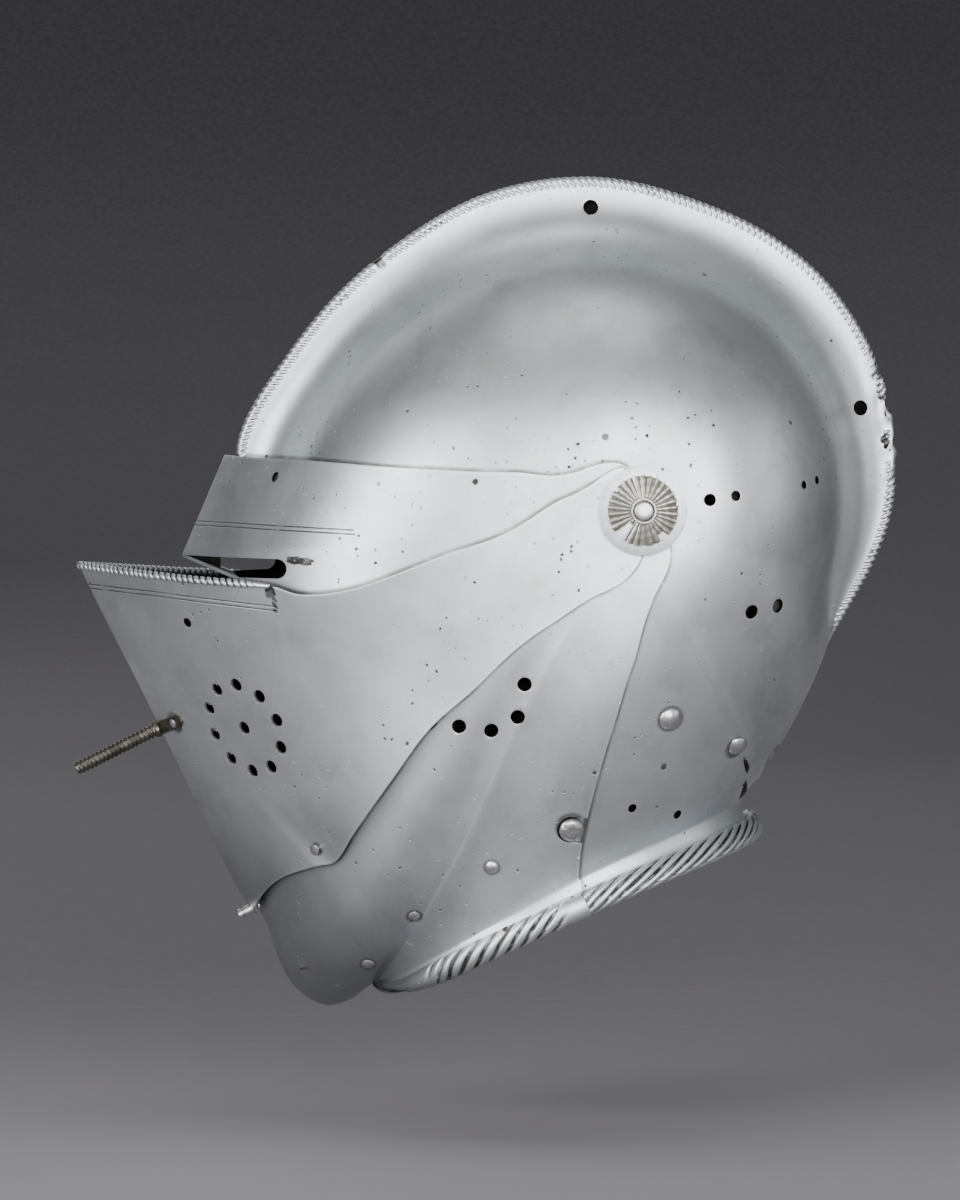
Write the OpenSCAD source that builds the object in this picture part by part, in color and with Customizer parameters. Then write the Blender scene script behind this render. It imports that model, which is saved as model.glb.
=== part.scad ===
// Close helmet of plate steel. Three face plates turn on one pair of side pivots over a combed skull.
// Frame: origin midway between the pivots, -Y towards the wearer's front, +X the wearer's left, +Z up.
// Every plate is a fan around the pivot axis: a direction (degrees, 0 = front, 90 = up, 180 = back)
// and, along it, a side profile (radius from the axis, half width) that ends on the middle plane.

/* [Plates] */
// Half width over the skull plate at the pivots
skull_half_w = 95.6; // [90:0.2:100]
// Plate thickness
plate_t = 1.6; // [1.4:0.1:1.8]
// Free gap between nested plates at the pivots
plate_gap = 0.4; // [0.35:0.05:0.6]
// Radius of the flat round ears of the plates
ear_r = 17; // [16:0.5:18]

/* [Keels] */
// Distance of the upper bevor's straight keel from the pivot axis
bevor_keel = 203.4; // [200:0.2:206]
// Direction of the nearest point of that keel
bevor_keel_dir = -26.4; // [-27:0.1:-26]
// Distance of the visor's straight keel from the pivot axis
visor_keel = 152.6; // [152:0.2:154]
// Direction of the nearest point of that keel
visor_keel_dir = 23.5; // [23:0.1:24]

/* [Comb] */
// Half thickness of the comb's edge
comb_half_t = 2.3; // [2:0.1:2.6]

/* [Neck opening] */
// Half width of the neck at its waist
waist_half_w = 68; // [66:0.5:70]
// Half width over the neck flange
flange_half_w = 77; // [76:0.5:79]
// Rise of the neck line at the wearer's sides
neck_arch = 7; // [5:0.5:8]

/* [Pivots and fasteners] */
// Radius of the pivot bolts
bolt_r = 2.8; // [2.5:0.1:3]
// Radius of the rosettes
rosette_r = 13.6; // [12:0.2:14]
// Number of flutes on a rosette
rosette_flutes = 30; // [20:1:36]
// Radius of the prow stud
stud_r = 2.8; // [2.5:0.1:3]
// Length of the prow stud beyond the keel
stud_len = 35; // [30:0.5:36]
// Radius of the neck studs
neck_stud_r = 4.75; // [4.5:0.05:5]
// Travel of the neck studs
neck_stud_travel = 4; // [3:0.5:5]
// Radius of the catch button
button_r = 2; // [1.8:0.1:2.2]
// Radius of the domed lining rivets
lining_rivet_r = 4.6; // [4:0.1:5]

/* [Holes] */
// Radius of the vent and hearing holes
vent_r = 2.75; // [2.5:0.05:3]
// Radius of the circle of vent holes
vent_ring_r = 18.5; // [17:0.5:19]
// Number of holes on that circle
vent_count = 10; // [8:1:12]
// Radius of the crest holes through the comb
crest_hole_r = 3.05; // [2.8:0.05:3.3]

/* [Hidden] */
steel = [0.76, 0.79, 0.80];
dark_steel = [0.30, 0.31, 0.32];
brassy = [0.62, 0.60, 0.55];
leather = [0.36, 0.22, 0.13];
linen = [0.16, 0.14, 0.13];
$fn = 40;

layer = plate_t + plate_gap;
w_lower = skull_half_w + layer;
w_visor = w_lower + layer;
w_upper = w_visor + layer;
flat_r = ear_r + 1;
core_r = 8;
bore_r = bolt_r + 0.25;
sides = [1, -1];

// ---- curves ----
function bezier(p, s) =
    pow(1 - s, 3) * p[0] + 3 * s * pow(1 - s, 2) * p[1] + 3 * s * s * (1 - s) * p[2] + pow(s, 3) * p[3];
function mix(a, b, k) = a + (b - a) * k;
function clamp01(x) = max(0, min(1, x));
function ease(x) = let (c = clamp01(x)) c * c * (3 - 2 * c);
// smooth curve through a list of [x, y] stations
function seg(keys, x, i = 0) = (i >= len(keys) - 2 || x < keys[i + 1][0]) ? i : seg(keys, x, i + 1);
function slope(keys, i) =
    i == 0 ? (keys[1][1] - keys[0][1]) / (keys[1][0] - keys[0][0])
    : i == len(keys) - 1 ? (keys[i][1] - keys[i - 1][1]) / (keys[i][0] - keys[i - 1][0])
    : (keys[i + 1][1] - keys[i - 1][1]) / (keys[i + 1][0] - keys[i - 1][0]);
function through(keys, x0) =
    let (x = max(keys[0][0], min(keys[len(keys) - 1][0], x0)),
         i = seg(keys, x),
         h = keys[i + 1][0] - keys[i][0],
         t = (x - keys[i][0]) / h,
         m0 = slope(keys, i) * h,
         m1 = slope(keys, i + 1) * h)
    (1 + 2 * t) * pow(1 - t, 2) * keys[i][1] + t * pow(1 - t, 2) * m0
    + t * t * (3 - 2 * t) * keys[i + 1][1] + t * t * (t - 1) * m1;
function polar(th, r, w) = [w, -r * cos(th), r * sin(th)];
function direction(y, z) = atan2(z, -y);
function back_direction(y, z) = let (a = direction(y, z)) a < -60 ? a + 360 : a;

// ---- outlines on the middle plane ----
function upper_r(th) = bevor_keel / cos(th - bevor_keel_dir);
visor_tip_dir = -6.2;
function visor_r(th) =
    th > visor_tip_dir ? visor_keel / cos(th - visor_keel_dir)
    : visor_keel / cos(visor_tip_dir - visor_keel_dir) + (visor_tip_dir - th) * 1.0;
chin_keys = [[-62.4, 215.5], [-61.6, 223.5], [-60, 230.4], [-58, 232.6], [-55.5, 231.2],
             [-53, 226.4], [-50, 219], [-47, 214.5]];
function lower_r(th) =
    th < -47 ? through(chin_keys, th) : min(upper_r(th) - layer * 1.25, 214.5);
comb_keys = [[3, 151], [10, 154], [24, 145.5], [40, 139.5], [52, 136.6], [66, 135.4], [85, 131.8],
             [104, 126.2], [121, 124.4], [133, 123], [150, 119.4], [165, 115.6], [183, 109.6],
             [192, 105.7], [203, 101.8], [214, 101.3], [224, 105], [234.5, 112.9], [241.4, 119.3],
             [245.3, 125.4]];
body_keys = [[3, 137], [24, 124], [52, 111], [90, 101.5], [120, 97], [150, 93.5], [175, 90.5],
             [198, 90], [207, 93.5], [214, 98.5], [224, 105], [234.5, 112.9], [241.4, 119.3],
             [245.3, 125.4]];
function comb_r(th) = through(comb_keys, th);
function body_r(th) = min(through(body_keys, th), comb_r(th));

// ---- neck line: front and back points of the waist and of the flange, [y, z] ----
waist_front = [-99, -190];
waist_back = [52.5, -114];
flange_front = [-104, -199];
flange_back = [60.5, -129.5];
tuck = 3.1;
function ring(front, back, half_w, ph, inset) =
    let (m = (front + back) / 2,
         h = (front - back) / 2,
         k = 1 - inset / norm(h))
    [(half_w - inset) * sin(ph), m[0] + k * h[0] * cos(ph),
     m[1] + k * h[1] * cos(ph) + neck_arch * pow(sin(ph), 2)];

// ---- side profiles: four control points [radius, half width] of the main curve ----
function wedge(r, w, o, reach, keel_pull, keel_angle) =
    let (e = r - o / sin(keel_angle))
    [[flat_r, w - o], [flat_r + reach, w - o],
     [e - keel_pull * cos(keel_angle), keel_pull * sin(keel_angle)], [e, 0]];
function upper_profile(th, o) = wedge(upper_r(th), w_upper, o, 0.49 * upper_r(th), 85, 60);
function visor_profile(th, o) = wedge(visor_r(th), w_visor, o, 0.49 * visor_r(th), 88, 69);
// the chin stands out from a base row of nearly constant radius
chin_base_r = 214.3;
function chin_profile(th, o) =
    let (k = ease((-49 - th) / 12),
         b = th < -47 ? chin_base_r : lower_r(th),
         angle = mix(61, 89, k),
         p = wedge(b, w_lower, o, mix(0.47 * b, neck_reach * (b - flat_r), k), mix(84, round_pull, k), angle))
    [p[0], p[1], p[2], [lower_r(th) - o / sin(angle), 0]];
// the neck rows: a round row like its neighbours on the middle plane, cut off at the waist,
// that turns into a drawn-in neck wall towards the wearer's sides
round_pull = 61;
function round_w(w, s) = w * (pow(1 - s, 3) + 3 * s * pow(1 - s, 2)) + round_pull * 3 * s * s * (1 - s);
function cut_at(w, target, lo = 0.3, hi = 1, n = 18) =
    n == 0 ? (lo + hi) / 2
    : let (m = (lo + hi) / 2)
      round_w(w, m) > target ? cut_at(w, target, m, hi, n - 1) : cut_at(w, target, lo, m, n - 1);
function neck_curve(w0, ph, o, inset, n) =
    let (end = ring(waist_front, waist_back, waist_half_w, ph, inset + o),
         r = norm([end[1], end[2]]),
         w = w0 - o,
         c = cut_at(w, end[0]),
         b1 = 3 * c * pow(1 - c, 2),
         b23 = 3 * c * c * (1 - c) + pow(c, 3),
         full = (r - flat_r * (pow(1 - c, 3) + b1 * (1 - neck_reach))) / (b1 * neck_reach + b23),
         free = r - flat_r,
         a = [[flat_r, w], [flat_r + neck_reach * (full - flat_r), w], [full, round_pull], [full, 0]],
         b = [[flat_r, w], [flat_r + neck_reach * free, w], [r - 0.36 * free, end[0] + 16], [r, end[0]]],
         k = pow(sin(ph), 4))
    [for (j = [0 : n]) j == n ? [r, end[0]] : mix(bezier(a, c * j / n), bezier(b, j / n), k)];
neck_reach = 0.42;
function skull_profile(th, o) =
    let (r = body_r(th) - o,
         front = ease((70 - th) / 60),
         low = ease((th - 200) / 45))
    [[flat_r, skull_half_w - o],
     [flat_r + mix(r * mix(0.42, 0.60, front), neck_reach * (r - flat_r), low), skull_half_w - o],
     [r, round_pull], [r, 0]];

// ---- rows of surface points, from the ear to the middle plane ----
main_n = 9;
edge_n = 6;
flange_n = 5;
plain_n = 15;
chin_n = 12;
ring_theta = function (ph, inset)
    let (p = ring(waist_front, waist_back, waist_half_w, ph, inset)) back_direction(p[1], p[2]);

// a plain row: main curve only
function plain_row(p, bend, n = plain_n) =
    concat([bend(core_r, p[0][1])],
           [for (j = [0 : n]) let (q = bezier(p, j / n)) bend(q[0], q[1])]);
// a row that ends in the comb: the main curve leaves the body and sweeps up to the comb's edge
leave_s = 0.80;
function tangent(p, s) = let (d = bezier(p, s + 0.01) - bezier(p, s - 0.01)) d / norm(d);
function comb_row(th, bend) =
    let (p = skull_profile(th, 0),
         q = bezier(p, leave_s),
         t = tangent(p, leave_s),
         c = comb_r(th),
         k = ease((c - body_r(th)) / 8),
         rise = c - q[0],
         sweep = [q, q + t * q[1] * mix(0.5, 0.62, k),
                  mix([c, q[1] * 0.5], [c - 0.62 * rise, comb_half_t], k), [c - 1.2 * k, comb_half_t * k]])
    concat([bend(core_r, p[0][1])],
           [for (j = [0 : main_n]) let (a = bezier(p, leave_s * j / main_n)) bend(a[0], a[1])],
           [for (j = [1 : edge_n - 1]) let (a = bezier(sweep, j / (edge_n - 1))) bend(a[0], a[1])],
           [bend(c, 0)]);
// a row that ends in the neck flange, which fades out at the throat
function neck_row(w0, ph, o, inset, bend, n) =
    let (p = neck_curve(w0, ph, o, inset, n),
         a = ring(waist_front, waist_back, waist_half_w, ph, inset + o),
         rim = ring(flange_front, flange_back, flange_half_w, ph, inset + o * 0.9),
         g = ease(ph / 40),
         b = a + (rim - a) * g,
         c = [0, (waist_front[0] + waist_back[0]) / 2, a[2]],
         out = (a - c) / norm(a - c),
         cove = [a, a + [0, 0, -7] * g, b + (-7 * out + [0, 0, 1.5]) * g, b])
    concat([bend(core_r, p[0][1])],
           [for (q = p) bend(q[0], q[1])],
           [for (j = [1 : flange_n]) bezier(cove, j / flange_n)]);

// ---- closed shells from rows of points, outer[i][j] and inner[i][j], mirrored to the other side ----
// Rows that end on the middle plane are shorter than rows that end in the flange.
function running(rows, i = 0, sum = 0) =
    i == len(rows) ? [sum] : concat([sum], running(rows, i + 1, sum + len(rows[i])));
module half_pair(outer, inner) {
    m = len(outer) - 1;
    at = running(outer);
    total = at[m + 1];
    short = min([for (row = outer) len(row)]);
    long = max([for (row = outer) len(row)]) - 1;
    o = function (i, j) at[i] + j;
    q = function (i, j) total + at[i] + j;
    left = concat([for (row = outer) each row], [for (row = inner) each row]);
    right = [for (p = left) [-p[0], p[1], p[2]]];
    quad = function (a, b, c, d) [[a, b, c], [a, c, d]];
    width = function (i) min(len(outer[i]), len(outer[i + 1])) - 1;
    flanged = function (i) width(i) == long && long + 1 > short;
    faces = concat(
        [for (i = [0 : m - 1], j = [0 : width(i) - 1])
            each quad(o(i, j), o(i, j + 1), o(i + 1, j + 1), o(i + 1, j))],
        [for (i = [0 : m - 1], j = [0 : width(i) - 1])
            each quad(q(i, j), q(i + 1, j), q(i + 1, j + 1), q(i, j + 1))],
        [for (j = [0 : len(outer[0]) - 2]) each quad(o(0, j + 1), o(0, j), q(0, j), q(0, j + 1))],
        [for (j = [0 : len(outer[m]) - 2]) each quad(o(m, j), o(m, j + 1), q(m, j + 1), q(m, j))],
        [for (i = [0 : m - 1]) each quad(o(i, 0), o(i + 1, 0), q(i + 1, 0), q(i, 0))],
        [for (i = [0 : m - 1]) if (flanged(i))
            each quad(o(i + 1, long), o(i, long), q(i, long), q(i + 1, long))]);
    same = function (a, b) left[a] == left[b];
    sound = [for (f = faces) if (!same(f[0], f[1]) && !same(f[1], f[2]) && !same(f[0], f[2])) f];
    mirrored = [for (f = sound) [2 * total + f[0], 2 * total + f[2], 2 * total + f[1]]];
    polyhedron(points = concat(left, right), faces = concat(sound, mirrored));
}

// ---- places on a plate: a frame whose +Z is the outward normal ----
// half width of a row, given as points [radius, half width], at a radius
function row_w(row, r, i = 0) =
    i >= len(row) - 2 || row[i + 1][0] > r
    ? mix(row[i][1], row[i + 1][1], (r - row[i][0]) / (row[i + 1][0] - row[i][0]))
    : row_w(row, r, i + 1);
function sampled(p) = [for (j = [0 : 40]) bezier(p, j / 40)];
function half_width(row, y, z) = row_w(row(back_direction(y, z)), norm([y, z]));
function normal(row, y, z) =
    let (n = [1, (half_width(row, y - 1, z) - half_width(row, y + 1, z)) / 2,
              (half_width(row, y, z - 1) - half_width(row, y, z + 1)) / 2])
    n / norm(n);
module on_plate(row, y, z) {
    w = half_width(row, y, z);
    n = normal(row, y, z);
    u = cross([1, 0, 0], n) / norm(cross([1, 0, 0], n));
    v = cross(n, u);
    multmatrix([[u[0], v[0], n[0], w], [u[1], v[1], n[1], y], [u[2], v[2], n[2], z], [0, 0, 0, 1]])
        children();
}
module both_sides() {
    children();
    mirror([1, 0, 0]) children();
}
module drill(r, depth = 9) {
    translate([0, 0, -depth]) cylinder(r = r, h = 2 * depth);
}
module along_x(x0, x1, r) {
    translate([x0, 0, 0]) rotate([0, 90, 0]) cylinder(r = r, h = x1 - x0);
}
module ear(w_outer) {
    along_x(w_outer - plate_t + 0.06, w_outer + 0.06, ear_r);
}
module pivot_bore() {
    along_x(-130, 130, bore_r);
}

// ---- skull ----
brow_keys = [[8, -24], [18, -22], [40, -8], [80, 0], [150, 3]];
cheek_keys = [[8, 302], [18, 300], [50, 288], [90, 282.5], [150, 282.5]];
skull_front_ph = 83;
function skull_bend(th) = function (r, w)
    let (k = (th - 3) / (282.5 - 3))
    polar(mix(through(brow_keys, r), through(cheek_keys, r), k), r, w);
skull_rows = [for (i = [0 : 33]) 3 + (243.5 - 3) * i / 33];
skull_ring = [for (i = [0 : 10]) 180 - (180 - skull_front_ph) * pow(i / 10, 1.25)];
module skull_plate() {
    columns = main_n + edge_n;
    outer = concat([for (th = skull_rows) comb_row(th, skull_bend(th))],
                   [for (ph = skull_ring)
                       neck_row(skull_half_w, ph, 0, tuck, skull_bend(ring_theta(ph, tuck)), columns)]);
    inner = concat([for (th = skull_rows) plain_row(skull_profile(th, plate_t), skull_bend(th))],
                   [for (ph = skull_ring)
                       neck_row(skull_half_w, ph, plate_t, tuck, skull_bend(ring_theta(ph, tuck)), columns)]);
    half_pair(outer, inner);
}
crest_holes = [[-11.3, 119.3], [97.2, 39.3]];
// small holes through the sides, [y, z, radius]
skull_holes = [[26.5, 4, 1.4], [36.8, 5.5, 2], [44.1, -39.5, 2.8], [55.1, -37.4, 2.8],
               [65.6, 9.4, 1.6], [71.7, 11.2, 1.6], [-1, -116, 1.8], [17.8, -119.4, 1.85]];
// lining rivets, [y, z, lift of the head]
skull_lining = [[13, -81, 0.3], [41, -93, 1.5], [59, -98.5, 2.2]];
neck_stud_at = [-25.5, -123];
module skull() {
    color(steel) difference() {
        union() {
            skull_plate();
            both_sides() ear(skull_half_w);
        }
        pivot_bore();
        for (c = crest_holes) translate([0, c[0], c[1]]) along_x(-12, 12, crest_hole_r);
        both_sides() {
            for (c = skull_holes) on_plate(skull_at, c[0], c[1]) drill(c[2]);
            for (c = skull_lining) on_plate(skull_at, c[0], c[1]) drill(1.5);
            on_plate(skull_at, neck_stud_at[0], neck_stud_at[1]) drill(neck_stud_r + 0.2);
        }
    }
}
function find_ph(th, inset, lo, hi, n = 20) =
    n == 0 ? (lo + hi) / 2
    : let (m = (lo + hi) / 2)
      ring_theta(m, inset) > th ? find_ph(th, inset, m, hi, n - 1) : find_ph(th, inset, lo, m, n - 1);
skull_at = function (th)
    th <= 245.3 ? sampled(skull_profile(th, 0))
    : neck_curve(skull_half_w, find_ph(th, tuck, 60, 180), 0, tuck, 40);

// ---- visor ----
visor_top_keys = [[8, 82], [18, 70], [30, 29], [50, 17], [83, 11], [135, 8.2], [156, 7.5], [220, 7.5]];
visor_low_keys = [[8, -75], [18, -62], [40, -30], [80, -22], [140, -18], [220, -17]];
visor_rows = 10;
function visor_bend(k) = function (r, w)
    polar(mix(through(visor_low_keys, r), through(visor_top_keys, r), k), r, w);
function visor_th(k) = mix(-17, 7.5, k);
slit_half = 3.8;
slit_rear = [-138.8, -23];
module sight_slit() {
    translate([-130, -189, slit_rear[1] - slit_half]) cube([260, 189 + slit_rear[0], 2 * slit_half]);
    translate([0, slit_rear[0], slit_rear[1]]) along_x(-130, 130, slit_half);
}
module visor_beak_cut() {
    rotate([90, 0, 90]) translate([0, 0, -100]) linear_extrude(height = 200)
        polygon([[-177, -19.3], [-154, -28], [-152, -80], [-240, -80], [-240, -19.3]]);
}
beak_slope = 21;
module beak_floor() {
    translate([0, -174.2, -19.9]) rotate([-beak_slope, 0, 0]) linear_extrude(height = 1.2)
        polygon([[0, 0], [24, 9.3], [43, 20], [46, 21.5], [-46, 21.5], [-43, 20], [-24, 9.3]]);
}
module sight_bar() {
    translate([-1, -172, -31]) cube([2, 13, 16]);
}
visor_hole = [-138.5, 12.3];
visor_at = function (th) sampled(visor_profile(th, 0));
module visor() {
    rows = function (o) [for (i = [0 : visor_rows])
        plain_row(visor_profile(visor_th(i / visor_rows), o), visor_bend(i / visor_rows))];
    color(steel) difference() {
        union() {
            difference() {
                half_pair(rows(0), rows(plate_t));
                sight_slit();
                visor_beak_cut();
            }
            beak_floor();
            sight_bar();
            both_sides() ear(w_visor);
        }
        pivot_bore();
        both_sides() on_plate(visor_at, visor_hole[0], visor_hole[1]) drill(2.05);
    }
}

// ---- upper bevor ----
upper_top_keys = [[8, 80], [18, 66], [22, 27], [34, 5], [51, -8.5], [78, -12.6], [104, -15], [139, -15.8],
                  [144, -11.8], [180, -8.6], [216, -6.2], [230, -5.6]];
upper_low_keys = [[8, -96], [18, -88], [27, -76], [38, -60], [53, -52], [70, -47.8], [95, -46.8],
                  [115, -46], [140, -47.6], [167, -49.2], [180, -50], [187, -48.6], [200, -47],
                  [213, -47.3], [219, -48.5], [230, -49]];
upper_rows = 14;
function upper_bend(k) = function (r, w)
    polar(mix(through(upper_low_keys, r), through(upper_top_keys, r), k), r, w);
function upper_th(k) = mix(-48.5, -6.2, k);
vent_centre = [-151, -86];
upper_hole = [-172, -44];
rivet_low = [-123.5, -133.5];
foot_rivet = [-177.5, -85.4];
prow_at = [-183.6, -88.2];
catch_at = [-147.2, -160.7];
module along_prow(y, z) {
    translate([0, y, z]) rotate([116.4, 0, 0]) children();
}
module upper_bevor() {
    rows = function (o) [for (i = [0 : upper_rows])
        plain_row(upper_profile(upper_th(i / upper_rows), o), upper_bend(i / upper_rows))];
    color(steel) difference() {
        union() {
            half_pair(rows(0), rows(plate_t));
            both_sides() ear(w_upper);
        }
        pivot_bore();
        both_sides() {
            on_plate(upper_at, vent_centre[0], vent_centre[1]) {
                drill(vent_r);
                for (a = [0 : vent_count - 1])
                    rotate([0, 0, a * 360 / vent_count + 12]) translate([vent_ring_r, 0, 0]) drill(vent_r);
            }
            on_plate(upper_at, upper_hole[0], upper_hole[1]) drill(1.95);
            on_plate(upper_at, rivet_low[0], rivet_low[1]) drill(1.5);
            on_plate(upper_at, foot_rivet[0], foot_rivet[1]) drill(1.35);
        }
        along_prow(prow_at[0], prow_at[1]) translate([0, 0, -12]) cylinder(r = 1.6, h = 24);
        along_prow(catch_at[0], catch_at[1]) translate([0, 0, -12]) {
            cylinder(r = button_r + 0.6, h = 24);
            translate([-button_r - 0.6, -16, 0]) cube([2 * button_r + 1.2, 16, 24]);
        }
    }
}
upper_at = function (th) sampled(upper_profile(th > 180 ? th - 360 : th, 0));

// ---- lower bevor ----
lower_top_keys = [[8, 75], [18, 55], [30, 0], [50, -18], [90, -30], [130, -38], [240, -38]];
lower_back_keys = [[8, -140], [18, -128], [34, -98.5], [60, -87.5], [87, -83.3], [110, -81.7],
                   [132, -81.3], [150, -81.9], [240, -82.2]];
lower_front_th = -38;
lower_last_ph = 92;
lower_chin_rows = 9;
lower_neck_rows = 9;
function lower_bend(th) = function (r, w)
    let (k = (th + 82.2) / (lower_front_th + 82.2))
    polar(mix(through(lower_back_keys, r), through(lower_top_keys, r), k), r, w);
function ring_dir(ph) = ring_theta(ph, 0) - 360;
lower_chin = [for (i = [0 : lower_chin_rows]) mix(-61.6, lower_front_th, pow(i / lower_chin_rows, 1.3))];
lower_neck = [for (i = [0 : lower_neck_rows]) lower_last_ph * pow(1 - i / lower_neck_rows, 1.2)];
hearing_holes = [[-44.5, -67], [-47, -79.5], [-57, -85], [-69.5, -83]];
lower_lining = [[-55.5, -139, 0.1], [-84.7, -159, 0.5], [-102, -179.5, 0.3]];
lower_at = function (th0)
    let (th = th0 > 180 ? th0 - 360 : th0)
    th > -62.4 ? sampled(chin_profile(th, 0)) : neck_curve(w_lower, find_ph(th + 360, 0, 0, 110), 0, 0, 40);
module lower_bevor() {
    rows = function (o)
        concat([for (ph = lower_neck) neck_row(w_lower, ph, o, 0, lower_bend(ring_dir(ph)), chin_n)],
               [for (th = lower_chin) plain_row(chin_profile(th, o), lower_bend(th), chin_n)]);
    color(steel) difference() {
        union() {
            half_pair(rows(0), rows(plate_t));
            both_sides() ear(w_lower);
        }
        pivot_bore();
        both_sides() {
            for (c = hearing_holes) on_plate(lower_at, c[0], c[1]) drill(vent_r);
            for (c = lower_lining) on_plate(lower_at, c[0], c[1]) drill(1.5);
            on_plate(skull_at, neck_stud_at[0], neck_stud_at[1]) {
                drill(neck_stud_r + 0.85);
                rotate([0, 0, -27]) translate([0, -(neck_stud_r + 0.5), -9])
                    cube([14, 2 * (neck_stud_r + 0.5), 18]);
            }
        }
        along_prow(catch_at[0], catch_at[1]) translate([0, 0, -14]) cylinder(r = button_r + 0.25, h = 24);
    }
}

// ---- side pivots: rosette, bolt, washer, nut ----
module rosette() {
    color(brassy) along_side(w_upper + 0.35) difference() {
        union() {
            cylinder(r = rosette_r, h = 1.4);
            translate([0, 0, 1.4]) cylinder(r1 = rosette_r - 0.3, r2 = 6, h = 1.9);
        }
        for (a = [0 : rosette_flutes - 1])
            rotate([0, 0, a * 360 / rosette_flutes]) translate([rosette_r + 0.5, 0, -1])
                cylinder(r = 0.95, h = 6);
        translate([0, 0, -1]) cylinder(r = bolt_r + 0.05, h = 8);
    }
}
module along_side(x) {
    translate([x, 0, 0]) rotate([0, 90, 0]) children();
}
bolt_head_r = 3.9;
bolt_inner_x = skull_half_w - plate_t - 5.6;
module pivot_bolt() {
    color(steel) {
        along_side(bolt_inner_x) cylinder(r = bolt_r, h = w_upper + 3.7 - bolt_inner_x);
        along_side(w_upper + 3.67) cylinder(r = bolt_head_r, h = 1);
        along_side(w_upper + 4.6) cylinder(r1 = bolt_head_r, r2 = 2.6, h = 0.7);
    }
}
module pivot_washer() {
    color(dark_steel) along_side(skull_half_w - plate_t - 1.25) difference() {
        cylinder(r = 9, h = 1.2);
        translate([0, 0, -1]) cylinder(r = bolt_r + 0.05, h = 4);
    }
}
module pivot_nut() {
    color(dark_steel) along_side(skull_half_w - plate_t - 5) difference() {
        cylinder(r = 5.6, h = 3.7, $fn = 4);
        translate([0, 0, -1]) cylinder(r = bolt_r + 0.01, h = 6);
    }
}

// ---- prow stud on a collar with its forked foot, and the rivets through the foot ----
collar_top = 3.8;
module prow_stud() {
    color(dark_steel) difference() {
        along_prow(prow_at[0], prow_at[1]) {
            translate([0, 0, 1.6]) cylinder(r = stud_r, h = stud_len);
            translate([0, 0, 0.6]) cylinder(r = stud_r + 0.6, h = collar_top - 0.6);
            for (side = sides) hull() {
                translate([0, 0, 2.2]) sphere(r = 1.4, $fn = 16);
                translate([side * 7.5, 0, -2.6]) rotate([0, side * 30, 0]) cylinder(r = 4.2, h = 1.2, $fn = 24);
            }
        }
        both_sides() on_plate(upper_at, foot_rivet[0], foot_rivet[1]) drill(1.3);
    }
}
module dome(r, h) {
    intersection() {
        translate([0, 0, h - (r * r + h * h) / (2 * h)]) sphere(r = (r * r + h * h) / (2 * h));
        cylinder(r = r + 1, h = h + 1);
    }
}
module rivet(head, h, shank, depth) {
    dome(head, h);
    translate([0, 0, -depth]) cylinder(r = shank, h = depth + 0.02);
}
module prow_stud_rivets() {
    color(steel) both_sides() on_plate(upper_at, foot_rivet[0], foot_rivet[1]) 
        translate([0, 0, 3.2]) rivet(2.1, 0.7, 1.25, 5.5);
}
module upper_bevor_rivets() {
    color(steel) both_sides() on_plate(upper_at, rivet_low[0], rivet_low[1]) 
        translate([0, 0, 0.08]) rivet(2.2, 0.4, 1.45, 1.75);
}

// ---- catch: button on a leaf spring inside the lower bevor ----
catch_depth = 7;
module catch_button() {
    color(steel) along_prow(catch_at[0], catch_at[1]) {
        translate([0, 0, -catch_depth]) cylinder(r = button_r, h = catch_depth + 5.5);
        translate([0, 0, -catch_depth - 1]) cylinder(r = 3.4, h = 1.02);
    }
}
module catch_spring() {
    color(dark_steel) along_prow(catch_at[0], catch_at[1]) {
        translate([-3, -3, -catch_depth - 2]) cube([6, 36, 0.9]);
        translate([-3, 27, -catch_depth - 1.12]) cube([6, 6, 1.6]);
    }
}
module catch_spring_rivet() {
    color(steel) along_prow(catch_at[0], catch_at[1]) translate([0, 30, -catch_depth - 3])
        cylinder(r = 2.2, h = 0.95);
}

// ---- neck studs: sprung plungers that lock the lower bevor to the skull ----
module at_neck_stud() {
    on_plate(skull_at, neck_stud_at[0], neck_stud_at[1]) children();
}
module neck_stud() {
    color(steel) at_neck_stud() {
        translate([0, 0, -4.2]) cylinder(r = neck_stud_r, h = 8);
        translate([0, 0, 3.78]) dome(neck_stud_r, 1);
        translate([0, 0, -5.4]) cylinder(r = neck_stud_r + 1.6, h = 1.22);
    }
}
module neck_spring() {
    color(dark_steel) at_neck_stud() translate([-4, -4, -6.6]) cube([8, 38, 0.9]);
}
module neck_spring_rivets() {
    color(steel) both_sides() at_neck_stud() translate([0, 30, -7.6]) cylinder(r = 2.2, h = 0.95);
}

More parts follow.
